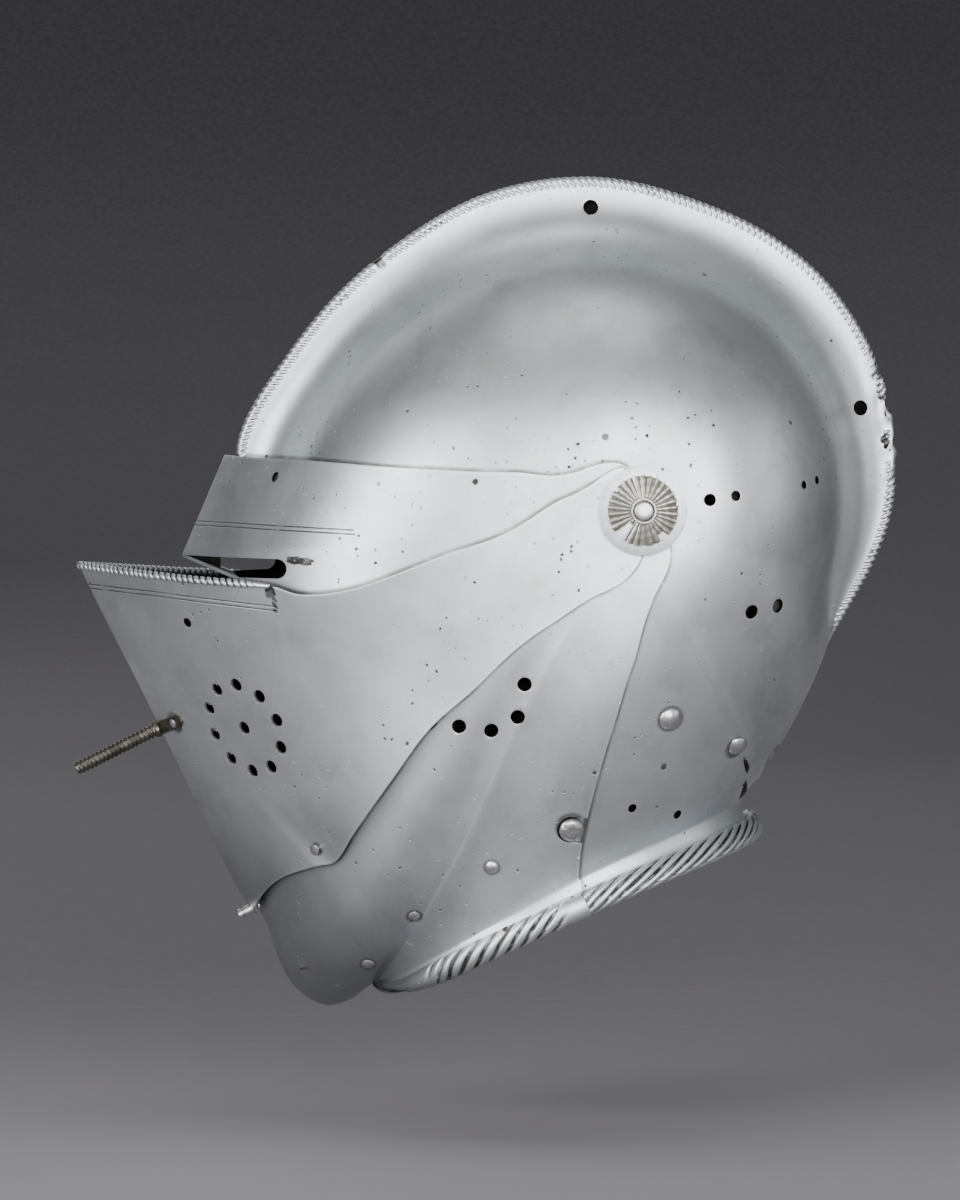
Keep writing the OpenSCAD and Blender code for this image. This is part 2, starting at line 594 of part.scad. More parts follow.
// ---- lining: domed rivets, burrs, leather straps, quilted cap ----
strap_t = 2;
module lining_rivets(profile, places, head) {
    for (c = places) on_plate(profile, c[0], c[1]) translate([0, 0, c[2]])
        rivet(head, head * 0.42, 1.45, plate_t * 1.5 + strap_t + 2.6);
}
module burrs(profile, places) {
    for (c = places) on_plate(profile, c[0], c[1]) translate([0, 0, -plate_t * 1.5 - strap_t - 1.9])
        difference() {
            cylinder(r = 3.6, h = 0.9);
            translate([0, 0, -1]) cylinder(r = 1.5, h = 3);
        }
}
module strap_tab(profile, place, r) {
    on_plate(profile, place[0], place[1]) translate([0, 0, -plate_t * 1.5 - strap_t - 1.1])
        cylinder(r = r, h = strap_t, $fn = 28);
}
module strap_run(profile, places, r, across) {
    difference() {
        union() {
            both_sides() for (i = [0 : len(places) - 2]) hull() {
                strap_tab(profile, places[i], r);
                strap_tab(profile, places[i + 1], r);
            }
            if (across) hull() both_sides() strap_tab(profile, places[len(places) - 1], r);
        }
        both_sides() for (c = places) on_plate(profile, c[0], c[1]) {
            drill(1.6, 12);
            translate([0, 0, -20]) cylinder(r = 3.75, h = 20 - plate_t * 1.5 - strap_t - 0.9);
        }
    }
}
module skull_rivets() {
    color(steel) both_sides() lining_rivets(skull_at, skull_lining, lining_rivet_r);
}
module skull_burrs() {
    color(brassy) both_sides() burrs(skull_at, skull_lining);
}
module skull_strap() {
    color(leather) strap_run(skull_at, skull_lining, 6, true);
}
module lower_bevor_rivets() {
    color(steel) both_sides() lining_rivets(lower_at, lower_lining, 2.6);
}
module lower_bevor_burrs() {
    color(brassy) both_sides() burrs(lower_at, lower_lining);
}
module lower_bevor_strap() {
    color(leather) strap_run(lower_at, lower_lining, 5, false);
}
liner_t = 9;
liner_gap = 3.5;
function liner_ctrl(th, o) =
    let (r = body_r(th) - o,
         front = ease((70 - th) / 60))
    [[30, skull_half_w - o - 2], [30 + r * mix(0.34, 0.5, front), skull_half_w - o - 2],
     [r, mix(60, 56, front)], [r, 0]];
function liner_row(th, o) =
    [for (j = [0 : 10]) let (q = bezier(liner_ctrl(th, o), j / 10)) polar(th, q[0], q[1])];
module quilted_liner() {
    rows = function (o) [for (i = [0 : 18]) liner_row(mix(12, 222, i / 18), o)];
    color(linen) half_pair(rows(plate_t + liner_gap), rows(plate_t + liner_gap + liner_t));
}

skull();
visor();
upper_bevor();
lower_bevor();
rosette();  // rosette_left
mirror([1, 0, 0]) rosette();  // rosette_right
pivot_bolt();  // pivot_bolt_left
mirror([1, 0, 0]) pivot_bolt();  // pivot_bolt_right
pivot_washer();  // pivot_washer_left
mirror([1, 0, 0]) pivot_washer();  // pivot_washer_right
pivot_nut();  // pivot_nut_left
mirror([1, 0, 0]) pivot_nut();  // pivot_nut_right
prow_stud();
prow_stud_rivets();
upper_bevor_rivets();
catch_button();
catch_spring();
catch_spring_rivet();
neck_stud();  // neck_stud_left
mirror([1, 0, 0]) neck_stud();  // neck_stud_right
neck_spring();  // neck_spring_left
mirror([1, 0, 0]) neck_spring();  // neck_spring_right
neck_spring_rivets();
skull_rivets();
skull_burrs();
skull_strap();
lower_bevor_rivets();
lower_bevor_burrs();
lower_bevor_strap();
quilted_liner();
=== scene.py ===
"""Close helmet of old plate steel: the looks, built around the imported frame.

Lengths are millimetres in the part's frame: origin midway between the two pivots, -Y towards the wearer's
front, +X the wearer's left, +Z up. A plate is a fan around the pivot axis: for each direction th (degrees,
0 = front, 90 = up, 180 = back) a side profile of [radius, half width] that ends on the middle plane.
"""
import math

import bmesh
import bpy
import numpy as np
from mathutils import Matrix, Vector


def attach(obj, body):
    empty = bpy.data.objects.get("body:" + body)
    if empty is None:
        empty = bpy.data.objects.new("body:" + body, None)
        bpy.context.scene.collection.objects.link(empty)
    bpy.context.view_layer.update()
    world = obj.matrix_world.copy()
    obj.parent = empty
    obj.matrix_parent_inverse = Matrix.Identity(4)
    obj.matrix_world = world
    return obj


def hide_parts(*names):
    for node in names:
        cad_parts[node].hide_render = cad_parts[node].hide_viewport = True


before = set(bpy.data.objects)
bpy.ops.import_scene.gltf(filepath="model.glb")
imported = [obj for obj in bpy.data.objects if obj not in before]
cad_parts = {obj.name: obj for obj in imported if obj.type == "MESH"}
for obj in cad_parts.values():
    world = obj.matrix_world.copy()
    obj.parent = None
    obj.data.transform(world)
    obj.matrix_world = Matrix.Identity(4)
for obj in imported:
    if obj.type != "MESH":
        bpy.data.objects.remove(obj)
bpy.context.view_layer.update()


# ---------------------------------------------------------------- numbers of the part, in mm
SKULL_W, PLATE, GAP = 95.6, 1.6, 0.4
LAYER = PLATE + GAP
LOWER_W, VISOR_W, UPPER_W = SKULL_W + LAYER, SKULL_W + 2 * LAYER, SKULL_W + 3 * LAYER
EAR_R, FLAT_R, CORE_R, BORE_R, CREST_R = 17.0, 18.0, 8.0, 3.05, 3.05
COMB_T, NECK_ARCH = 2.3, 7.0
WAIST_F, WAIST_B, WAIST_W = np.array([-99.0, -190.0]), np.array([52.5, -114.0]), 68.0
FLANGE_F, FLANGE_B, FLANGE_W = np.array([-104.0, -199.0]), np.array([60.5, -129.5]), 77.0
TUCK, REACH, PULL = 3.1, 0.42, 61.0
NECK_STUD_R, ROSETTE_R = 4.75, 13.6
MM = 0.001


def sind(a):
    return 0.0 if abs(a % 180.0) < 1e-9 else math.sin(math.radians(a))


def cosd(a):
    return math.cos(math.radians(a))


def mix(a, b, k):
    return a + (b - a) * k


def ease(x):
    c = min(1.0, max(0.0, x))
    return c * c * (3 - 2 * c)


def bez(p, s):
    p = np.asarray(p, float)
    s = np.atleast_1d(np.asarray(s, float))[:, None]
    return (1 - s) ** 3 * p[0] + 3 * s * (1 - s) ** 2 * p[1] + 3 * s * s * (1 - s) * p[2] + s ** 3 * p[3]


def through(keys, x):
    """Smooth curve through [x, y] stations."""
    k = np.asarray(keys, float)
    kx, ky = k[:, 0], k[:, 1]
    x = np.clip(np.atleast_1d(np.asarray(x, float)), kx[0], kx[-1])
    m = np.empty(len(kx))
    m[1:-1] = (ky[2:] - ky[:-2]) / (kx[2:] - kx[:-2])
    m[0] = (ky[1] - ky[0]) / (kx[1] - kx[0])
    m[-1] = (ky[-1] - ky[-2]) / (kx[-1] - kx[-2])
    i = np.clip(np.searchsorted(kx, x, side="right") - 1, 0, len(kx) - 2)
    h = kx[i + 1] - kx[i]
    t = (x - kx[i]) / h
    return ((1 + 2 * t) * (1 - t) ** 2 * ky[i] + t * (1 - t) ** 2 * m[i] * h
            + t * t * (3 - 2 * t) * ky[i + 1] + t * t * (t - 1) * m[i + 1] * h)


def one(keys, x):
    return float(through(keys, x)[0])


def polar(th, r, w):
    t = np.radians(th)
    return np.stack([np.broadcast_to(w, np.shape(r)), -r * np.cos(t), r * np.sin(t)], -1)


def direction(y, z):
    return math.degrees(math.atan2(z, -y))


def back_direction(y, z):
    a = direction(y, z)
    return a + 360 if a < -60 else a


def upper_r(th):
    return 203.4 / cosd(th + 26.4)


def visor_r(th):
    return 152.6 / cosd(th - 23.5) if th > -6.2 else 152.6 / cosd(-6.2 - 23.5) + (-6.2 - th)


# radius on the middle plane by direction: the bevor's chin, the comb's edge, the skull without its comb
CHIN = [[-62.4, 215.5], [-61.6, 223.5], [-60, 230.4], [-58, 232.6], [-55.5, 231.2], [-53, 226.4], [-50, 219],
        [-47, 214.5]]
NAPE = [[234.5, 112.9], [241.4, 119.3], [245.3, 125.4]]
COMB = [[3, 151], [10, 154], [24, 145.5], [40, 139.5], [52, 136.6], [66, 135.4], [85, 131.8], [104, 126.2],
        [121, 124.4], [133, 123], [150, 119.4], [165, 115.6], [183, 109.6], [192, 105.7], [203, 101.8],
        [214, 101.3], [224, 105]] + NAPE
BODY = [[3, 137], [24, 124], [52, 111], [90, 101.5], [120, 97], [150, 93.5], [175, 90.5], [198, 90],
        [207, 93.5], [214, 98.5], [224, 105]] + NAPE


def lower_r(th):
    return one(CHIN, th) if th < -47 else min(upper_r(th) - LAYER * 1.25, 214.5)


def comb_r(th):
    return one(COMB, th)


def fan(v):
    """Distance from the pivot axis, and direction from 0 to 360 degrees, of each point."""
    return np.hypot(v[:, 1], v[:, 2]), np.degrees(np.arctan2(v[:, 2], -v[:, 1])) % 360


def body_r(th):
    return min(one(BODY, th), comb_r(th))


def ring(front, back, half_w, ph, inset):
    m, h = (front + back) / 2, (front - back) / 2
    k = 1 - inset / np.linalg.norm(h)
    s, c = sind(ph), cosd(ph)
    return np.array([(half_w - inset) * s, m[0] + k * h[0] * c, m[1] + k * h[1] * c + NECK_ARCH * s * s])


def wedge(r, w, o, reach, pull, angle):
    e = r - o / sind(angle)
    return [[FLAT_R, w - o], [FLAT_R + reach, w - o], [e - pull * cosd(angle), pull * sind(angle)], [e, 0]]


def upper_profile(th, o):
    return wedge(upper_r(th), UPPER_W, o, 0.49 * upper_r(th), 85, 60)


def visor_profile(th, o):
    return wedge(visor_r(th), VISOR_W, o, 0.49 * visor_r(th), 88, 69)


def chin_profile(th, o):
    k = ease((-49 - th) / 12)
    r = 214.3 if th < -47 else lower_r(th)
    angle = mix(61, 89, k)
    p = wedge(r, LOWER_W, o, mix(0.47 * r, REACH * (r - FLAT_R), k), mix(84, PULL, k), angle)
    return [p[0], p[1], p[2], np.array([lower_r(th) - o / sind(angle), 0.0])]


def round_w(w, s):
    return w * ((1 - s) ** 3 + 3 * s * (1 - s) ** 2) + PULL * 3 * s * s * (1 - s)


def cut_at(w, target):
    lo, hi = 0.3, 1.0
    for _ in range(18):
        m = (lo + hi) / 2
        lo, hi = (m, hi) if round_w(w, m) > target else (lo, m)
    return (lo + hi) / 2


def neck_curve(w0, ph, o, inset, n):
    end = ring(WAIST_F, WAIST_B, WAIST_W, ph, inset + o)
    r, w = math.hypot(end[1], end[2]), w0 - o
    c = cut_at(w, end[0])
    b1, b23 = 3 * c * (1 - c) ** 2, 3 * c * c * (1 - c) + c ** 3
    full = (r - FLAT_R * ((1 - c) ** 3 + b1 * (1 - REACH))) / (b1 * REACH + b23)
    free = r - FLAT_R
    a = [[FLAT_R, w], [FLAT_R + REACH * (full - FLAT_R), w], [full, PULL], [full, 0]]
    b = [[FLAT_R, w], [FLAT_R + REACH * free, w], [r - 0.36 * free, end[0] + 16], [r, end[0]]]
    s = np.arange(n + 1) / n
    out = mix(bez(a, c * s), bez(b, s), sind(ph) ** 4)
    out[-1] = [r, end[0]]
    return out


def skull_profile(th, o):
    r, front, low = body_r(th) - o, ease((70 - th) / 60), ease((th - 200) / 45)
    reach = mix(r * mix(0.42, 0.60, front), REACH * (r - FLAT_R), low)
    return [[FLAT_R, SKULL_W - o], [FLAT_R + reach, SKULL_W - o], [r, PULL], [r, 0]]


def ring_theta(ph, inset):
    p = ring(WAIST_F, WAIST_B, WAIST_W, ph, inset)
    return back_direction(p[1], p[2])


# ---------------------------------------------------------------- how far each row bends, by radius
BROW = [[8, -24], [18, -22], [40, -8], [80, 0], [150, 3]]
CHEEK = [[8, 302], [18, 300], [50, 288], [90, 282.5], [150, 282.5]]
VISOR_TOP = [[8, 82], [18, 70], [30, 29], [50, 17], [83, 11], [135, 8.2], [156, 7.5], [220, 7.5]]
VISOR_LOW = [[8, -75], [18, -62], [40, -30], [80, -22], [140, -18], [220, -17]]
UPPER_TOP = [[8, 80], [18, 66], [22, 27], [34, 5], [51, -8.5], [78, -12.6], [104, -15], [119, -15.2],
             [135, -13.9], [144, -11.8], [180, -8.6], [216, -6.2], [230, -5.6]]
UPPER_LOW = [[8, -96], [18, -88], [27, -76], [38, -60], [53, -52], [70, -47.8], [95, -46.8], [115, -46],
             [140, -47.6], [167, -49.2], [180, -50], [187, -48.6], [200, -47], [213, -47.3], [219, -48.5],
             [230, -49]]
LOWER_TOP = [[8, 75], [18, 55], [30, 0], [50, -18], [90, -30], [130, -38], [240, -38]]
LOWER_BACK = [[8, -140], [18, -128], [34, -98.5], [60, -87.5], [87, -83.3], [110, -81.7], [132, -81.3],
              [150, -81.9], [240, -82.2]]


def bender(low, high, k):
    def bend(q):
        r, w = q[:, 0], q[:, 1]
        return polar(mix(through(low, r), through(high, r), k), r, w)
    return bend


def skull_bend(th):
    return bender(BROW, CHEEK, (th - 3) / (282.5 - 3))


def lower_bend(th):
    return bender(LOWER_BACK, LOWER_TOP, (th + 82.2) / (-38 + 82.2))


def start(p):
    return [[CORE_R, p[0][1]]]


def round_end(q, radius):
    """Turns the sharp end of a row on the middle plane into a small arc."""
    t = q[-1] - q[-4]
    t = t / np.linalg.norm(t)
    sin = max(0.2, -t[1])
    cos = math.sqrt(max(0.0, 1 - sin * sin))
    keep = q[q[:, 1] > radius * cos]
    e = q[-1][0]
    mid = e - radius / sin
    a = np.linspace(math.pi / 2 - math.asin(sin), 0, 6)
    arc = np.stack([mid + radius * np.cos(a), radius * np.sin(a)], 1)
    arc[-1][1] = 0
    line = np.concatenate([keep, arc])
    d = np.concatenate([[0], np.cumsum(np.linalg.norm(np.diff(line, axis=0), axis=1))])
    # the same number of points on every row, with the arc's points kept
    n = len(q) - len(arc)
    dk = np.linspace(0, d[len(keep) - 1], n)
    out = np.stack([np.interp(dk, d, line[:, 0]), np.interp(dk, d, line[:, 1])], 1)
    return np.concatenate([out, arc])


def plain_row(p, bend, n, keel=0.0):
    q = bez(p, np.arange(n + 1) / n)
    if keel:
        q = round_end(q, keel)
    return bend(np.concatenate([start(p), q]))


def comb_row(th, bend, m, e, tip):
    """A skull row with the comb: m steps up the side, e points up the sweep, tip points round the edge."""
    p = skull_profile(th, 0)
    q = bez(p, 0.80)[0]
    t = (bez(p, 0.81) - bez(p, 0.79))[0]
    t = t / np.linalg.norm(t)
    c = comb_r(th)
    k = ease((c - body_r(th)) / 8)
    rise = c - q[0]
    turn = mix(np.array([c, q[1] * 0.5]), np.array([c - 0.62 * rise, COMB_T]), k)
    sweep = [q, q + t * q[1] * mix(0.5, 0.62, k), turn, [c - 1.2 * k, COMB_T * k]]
    a = np.linspace(0, math.pi / 2, tip + 1)[1:]
    end = np.stack([c - 1.2 * k + 1.2 * k * np.sin(a), COMB_T * k * np.cos(a)], 1)
    end[-1][1] = 0
    side = bez(p, 0.80 * np.arange(m + 1) / m)
    return bend(np.concatenate([start(p), side, bez(sweep, np.arange(1, e) / (e - 1)), end]))


def neck_row(w0, ph, o, inset, bend, n, flange):
    p = neck_curve(w0, ph, o, inset, n)
    a = ring(WAIST_F, WAIST_B, WAIST_W, ph, inset + o)
    rim = ring(FLANGE_F, FLANGE_B, FLANGE_W, ph, inset + o * 0.9)
    g = ease(ph / 40)
    b = a + (rim - a) * g
    c = np.array([0, (WAIST_F[0] + WAIST_B[0]) / 2, a[2]])
    out = (a - c) / np.linalg.norm(a - c)
    cove = [a, a + np.array([0, 0, -7]) * g, b + (-7 * out + np.array([0, 0, 1.5])) * g, b]
    return np.concatenate([bend(np.concatenate([start(p), p])), bez(cove, np.arange(1, flange + 1) / flange)])


# ---------------------------------------------------------------- places on a plate
def sampled(p):
    return bez(p, np.arange(41) / 40)


def find_ph(th, inset, lo, hi):
    for _ in range(24):
        m = (lo + hi) / 2
        lo, hi = (m, hi) if ring_theta(m, inset) > th else (lo, m)
    return (lo + hi) / 2


def skull_at(th):
    if th <= COMB[-1][0]:
        return sampled(skull_profile(th, 0))
    return neck_curve(SKULL_W, find_ph(th, TUCK, 60, 180), 0, TUCK, 40)


def visor_at(th):
    return sampled(visor_profile(th, 0))


def upper_at(th):
    return sampled(upper_profile(th - 360 if th > 180 else th, 0))


def lower_at(th):
    t = th - 360 if th > 180 else th
    if t > CHIN[0][0]:
        return sampled(chin_profile(t, 0))
    return neck_curve(LOWER_W, find_ph(t + 360, 0, 0, 110), 0, 0, 40)


def half_width(row, y, z):
    q = row(back_direction(y, z))
    r = math.hypot(y, z)
    return float(np.interp(r, q[:, 0], q[:, 1]))


def normal(row, y, z, d=1.0):
    n = np.array([1, (half_width(row, y - d, z) - half_width(row, y + d, z)) / 2 / d,
                  (half_width(row, y, z - d) - half_width(row, y, z + d)) / 2 / d])
    return n / np.linalg.norm(n)


# ---------------------------------------------------------------- meshes
class Build:
    """Collects vertices (mm) and faces of one piece, then makes the object."""

    def __init__(self):
        self.v, self.f, self.m, self.n = [], [], [], 0

    def add(self, v, f, place=None, sides=(1,), mat=0):
        v = np.asarray(v, float)
        if place is not None:
            v = v @ place[:3, :3].T + place[:3, 3]
        for side in sides:
            self.v.append(v * [side, 1, 1])
            turn = (lambda q: tuple(q)) if side > 0 else (lambda q: tuple(reversed(q)))
            mats = mat if isinstance(mat, (list, np.ndarray)) else [mat] * len(f)
            for face, index in zip(f, mats):
                self.f.append(turn([self.n + i for i in face]))
                self.m.append(index)
            self.n += len(v)
        return self

    def object(self, name, weld=0.0):
        me = bpy.data.meshes.new(name)
        me.from_pydata((np.concatenate(self.v) * MM).tolist(), [], self.f)
        me.polygons.foreach_set("material_index", np.array(self.m, np.int32))
        if weld:
            bm = bmesh.new()
            bm.from_mesh(me)
            bmesh.ops.remove_doubles(bm, verts=bm.verts, dist=weld * MM)
            bmesh.ops.dissolve_degenerate(bm, edges=bm.edges, dist=1e-7)
            bmesh.ops.recalc_face_normals(bm, faces=bm.faces)
            bm.to_mesh(me)
            bm.free()
        me.update()
        ob = bpy.data.objects.new(name, me)
        bpy.context.scene.collection.objects.link(ob)
        return ob


BEVEL_FROM = 40.0


def apply_modifiers(ob):
    dg = bpy.context.evaluated_depsgraph_get()
    dg.update()
    me = bpy.data.meshes.new_from_object(ob.evaluated_get(dg), preserve_all_data_layers=True, depsgraph=dg)
    ob.modifiers.clear()
    ob.data = me
    return ob


def outward(me):
    bm = bmesh.new()
    bm.from_mesh(me)
    bmesh.ops.recalc_face_normals(bm, faces=bm.faces)
    bm.to_mesh(me)
    bm.free()


def boolean(ob, tool, operation):
    outward(tool.data)
    count = len(ob.data.vertices)
    for solver in ("MANIFOLD", "EXACT"):
        mod = ob.modifiers.new("cut", "BOOLEAN")
        mod.operation, mod.object = operation, tool
        mod.solver = solver
        before = ob.data
        apply_modifiers(ob)
        if len(ob.data.vertices) != count and len(ob.data.vertices) > count * 0.3:
            break
        ob.data = before
        print("boolean", ob.name, tool.name, solver, "gave nothing")
    bpy.data.objects.remove(tool)


def finish_piece(ob, body, node, mats, angle=32.0, bevel=0.0):
    """Bevels and shades a piece, binds it to its body and hides the CAD node that it replaces."""
    if bevel:
        mod = ob.modifiers.new("edge", "BEVEL")
        mod.width, mod.segments, mod.limit_method = bevel * MM, 2, "ANGLE"
        mod.angle_limit = math.radians(BEVEL_FROM)
        mod.use_clamp_overlap = True
        apply_modifiers(ob)
    index = np.zeros(len(ob.data.polygons), np.int32)
    ob.data.polygons.foreach_get("material_index", index)
    ob.data.materials.clear()
    for m in mats:
        ob.data.materials.append(m)
    ob.data.polygons.foreach_set("material_index", np.minimum(index, len(mats) - 1))
    ob.data.shade_smooth()
    ob.data.set_sharp_from_angle(angle=math.radians(angle))
    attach(ob, body)
    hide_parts(node)
    return ob


def lathe(profile, n=48):
    """Closed solid of revolution about Z; the profile is [r, z] from axis to axis or a closed loop."""
    p = np.asarray(profile, float)
    closed = p[0][0] > 1e-6
    a = np.linspace(0, 2 * math.pi, n, endpoint=False)
    verts, rings = [], []
    for r, z in p:
        if r < 1e-6:
            rings.append([len(verts)] * n)
            verts.append([0, 0, z])
        else:
            rings.append(list(range(len(verts), len(verts) + n)))
            verts += [[r * math.cos(t), r * math.sin(t), z] for t in a]
    faces = []
    pairs = list(zip(range(len(p)), range(1, len(p))))
    if closed:
        pairs.append((len(p) - 1, 0))
    for i, j in pairs:
        for k in range(n):
            q = (k + 1) % n
            face = [rings[i][k], rings[i][q], rings[j][q], rings[j][k]]
            face = [x for c, x in enumerate(face) if x not in face[:c]]
            if len(face) > 2:
                faces.append(tuple(face))
    return np.array(verts), faces


def grid_faces(m, n, wrap=False):
    out = []
    for i in range(m - 1):
        for j in range(n if wrap else n - 1):
            k = (j + 1) % n
            out.append((i * n + j, i * n + k, (i + 1) * n + k, (i + 1) * n + j))
    return out


def place(row, y, z, lift=0.0):
    """Frame on a plate: +Z is the outward normal."""
    w, n = half_width(row, y, z), normal(row, y, z)
    u = np.cross([1, 0, 0], n)
    u = u / np.linalg.norm(u)
    v = np.cross(n, u)
    m = np.eye(4)
    m[:3, 0], m[:3, 1], m[:3, 2] = u, v, n
    m[:3, 3] = np.array([w, y, z]) + n * lift
    return m


def prow(y, z, lift=0.0):
    t = math.radians(116.4)
    m = np.eye(4)
    m[:3, 1] = [0, math.cos(t), math.sin(t)]
    m[:3, 2] = [0, -math.sin(t), math.cos(t)]
    m[:3, 3] = np.array([0, y, z]) + m[:3, 2] * lift
    return m


def side_frame(x):
    m = np.eye(4)
    m[:3, 0], m[:3, 1], m[:3, 2] = [0, 1, 0], [0, 0, 1], [1, 0, 0]
    m[:3, 3] = [x, 0, 0]
    return m


def tube(profile_r, z0, z1, n=40):
    return lathe([[0, z0], [profile_r, z0], [profile_r, z1], [0, z1]], n)


# ---------------------------------------------------------------- plates
def shell(name, outer, inner):
    """Closed plate from rows of outer and inner points, and its mirror image; material 0 out, 1 in."""
    lens = [len(r) for r in outer]
    at = np.concatenate([[0], np.cumsum(lens)]).tolist()
    total, short, long, m = at[-1], min(lens), max(lens) - 1, len(outer) - 1
    f, tag = [], []
    for i in range(m):
        width = min(lens[i], lens[i + 1]) - 1
        for j in range(width):
            o, p = at[i] + j, at[i + 1] + j
            f += [(o, p, p + 1, o + 1), (total + o, total + o + 1, total + p + 1, total + p)]
            tag += [0, 1]
        f.append((at[i], total + at[i], total + at[i + 1], at[i + 1]))
        tag.append(0)
        if width == long and long + 1 > short:
            f.append((at[i + 1] + long, total + at[i + 1] + long, total + at[i] + long, at[i] + long))
            tag.append(0)
    for j in range(lens[0] - 1):
        f.append((j + 1, total + j + 1, total + j, j))
        tag.append(0)
    for j in range(lens[m] - 1):
        a = at[m] + j
        f.append((a, total + a, total + a + 1, a + 1))
        tag.append(0)
    ob = Build().add(np.concatenate(outer + inner), f, sides=(1, -1), mat=tag).object(name, weld=0.004)
    for mat in both:
        ob.data.materials.append(mat)
    return ob


def torn(ob, deep):
    """Field 'deep': black dirt in tears, nicks and file marks."""
    field(ob, "deep", np.clip(deep, 0, 1))


def ears(w):
    b = Build()
    v, f = lathe([[0, -PLATE], [EAR_R, -PLATE], [EAR_R, 0], [0, 0]], 96)
    b.add(v, f, side_frame(w + 0.06), sides=(1, -1))
    return b.object("ear_tool")


def cut_out(ob, b, name):
    """Takes the tools in b and the bore of the pivots out of a plate."""
    b.add(*tube(BORE_R, -130, 130, 48), side_frame(0))
    boolean(ob, b.object(name), "DIFFERENCE")


def drills(row, places, depth=9):
    """Round holes: [y, z, radius] on a plate, both sides."""
    b = Build()
    for y, z, r in places:
        v, f = tube(r, -depth, depth, 36)
        b.add(v, f, place(row, y, z), sides=(1, -1), mat=2)
    return b


def prism_faces(n):
    sides = [(i, n + i, n + (i + 1) % n, (i + 1) % n) for i in range(n)]
    return [tuple(range(n)), tuple(reversed(range(n, 2 * n)))] + sides


def prism(points, x0, x1):
    """A prism along X over a polygon in the YZ plane."""
    return [[x, y, z] for x in (x0, x1) for y, z in points], prism_faces(len(points))


def slot_tool(points, depth):
    """A prism along Z, depth to either side, over a polygon in the XY plane."""
    return [[x, y, z] for z in (-depth, depth) for x, y in points], prism_faces(len(points))


SKULL_BODY, LOWER_BODY = "skull_body", "lower_bevor_body"
UPPER_BODY, VISOR_BODY = "upper_bevor_body", "visor_body"
CREST_HOLES = [[-11.3, 119.3], [97.2, 39.3]]
SKULL_LINING = [[13, -81], [41, -93], [59, -98.5]]
SKULL_HOLES = [[26.5, 4, 2.4], [36.8, 5.5, 2.0], [44.1, -39.5, 2.8], [55.1, -37.4, 2.8], [65.6, 9.4, 1.6],
               [71.7, 11.2, 1.6], [-1.0, -116.0, 1.8], [17.8, -119.4, 1.85]]
NECK_STUD = [-25.5, -123]
VENT, VENT_RING, VENT_N, VENT_C = 2.75, 18.5, 10, [-151, -86]
CATCH, PROW_AT, FOOT, BEVOR_RIVET = [-147.2, -160.7], [-183.6, -88.2], [-177.5, -85.4], [-123.5, -133.5]
HEARING = [[-44.5, -67], [-47, -79.5], [-57, -85], [-69.5, -83]]
LOWER_LINING = [[-55.5, -139], [-84.7, -159], [-102, -179.5]]


def lumps(v, size, seed):
    """Smooth pseudo-random field over points (mm), about -1 to 1."""
    r = np.random.default_rng(seed)
    out = np.zeros(len(v))
    for _ in range(9):
        k = r.normal(size=3) * (2 * math.pi / size) * 0.6
        out += np.sin(v @ k + r.uniform(0, 6.28))
    return out / 3.2


def points_of(ob):
    co = np.empty(len(ob.data.vertices) * 3)
    ob.data.vertices.foreach_get("co", co)
    return co.reshape(-1, 3) / MM


def set_points(ob, v):
    ob.data.vertices.foreach_set("co", (v * MM).ravel())
    ob.data.update()


def field(ob, name, values):
    at = ob.data.attributes.get(name) or ob.data.attributes.new(name, "FLOAT", "POINT")
    at.data.foreach_set("value", np.asarray(values, np.float32))


def to_line(v, line):
    """Signed distance (mm) from points to a polyline [y, z], seen from the side; its ends run on."""
    line = np.asarray(line, float)
    p = v[:, 1:3]
    best = np.full(len(v), 1e9)
    sign = np.ones(len(v))
    for i, (a, b) in enumerate(zip(line[:-1], line[1:])):
        d = b - a
        length = np.linalg.norm(d)
        t = (p - a) @ d / length ** 2
        lo = -1e9 if i == 0 else 0.0
        hi = 1e9 if i == len(line) - 2 else 1.0
        off = p - (a + np.clip(t, lo, hi)[:, None] * d)
        dist = np.linalg.norm(off, axis=1)
        take = dist < best
        best[take] = dist[take]
        sign[take] = np.sign(d[0] * off[take, 1] - d[1] * off[take, 0])
    return best * sign


def engrave(ob, lines):
    """Stores the double lines' fields: 'engr' is the signed distance in mm to the middle of the pair."""
    v = points_of(ob)
    d_all = np.full(len(v), 40.0)
    for line, y0, y1 in lines:
        d = to_line(v, line)
        use = (v[:, 1] > y0) & (v[:, 1] < y1) & (np.abs(d) < np.abs(d_all))
        d_all[use] = d[use]
    field(ob, "engr", np.clip(d_all, -40, 40))


def edges(ob, own, over, row=None, dots=()):
    """Distance (mm) to the plate's own edge, where the shader paints wear and a highlight, and to the edges and
    rivets that lie over it, where it paints shade and grime.
    """
    v = points_of(ob)
    near = np.full(len(v), 40.0)
    for y, z, r in dots:
        c = place(row, y, z)[:3, 3]
        for side in (1, -1):
            near = np.minimum(near, np.maximum(0, np.linalg.norm(v - c * [side, 1, 1], axis=1) - r))
    for name, lines in (("edge", own), ("under", over)):
        d = np.full(len(v), 40.0)
        for line in lines:
            line = line[np.hypot(line[:, 0], line[:, 1]) > 17]
            step = max(1, len(line) // 60)
            pick = np.concatenate([line[::step], line[-1:]])
            d = np.minimum(d, near_line(v, pick))
        field(ob, name, np.clip(np.minimum(d, near) if name == "under" else d, 0, 40))


def near_line(v, line):
    """Distance (mm) from points to a polyline [y, z], seen from the side."""
    p, best = v[:, 1:3], np.full(len(v), 1e9)
    for a, b in zip(line[:-1], line[1:]):
        d = b - a
        length = max(1e-9, d @ d)
        t = np.clip((p - a) @ d / length, 0, 1)
        best = np.minimum(best, np.linalg.norm(p - (a + t[:, None] * d), axis=1))
    return best


M1, E1, TIP = 78, 34, 7
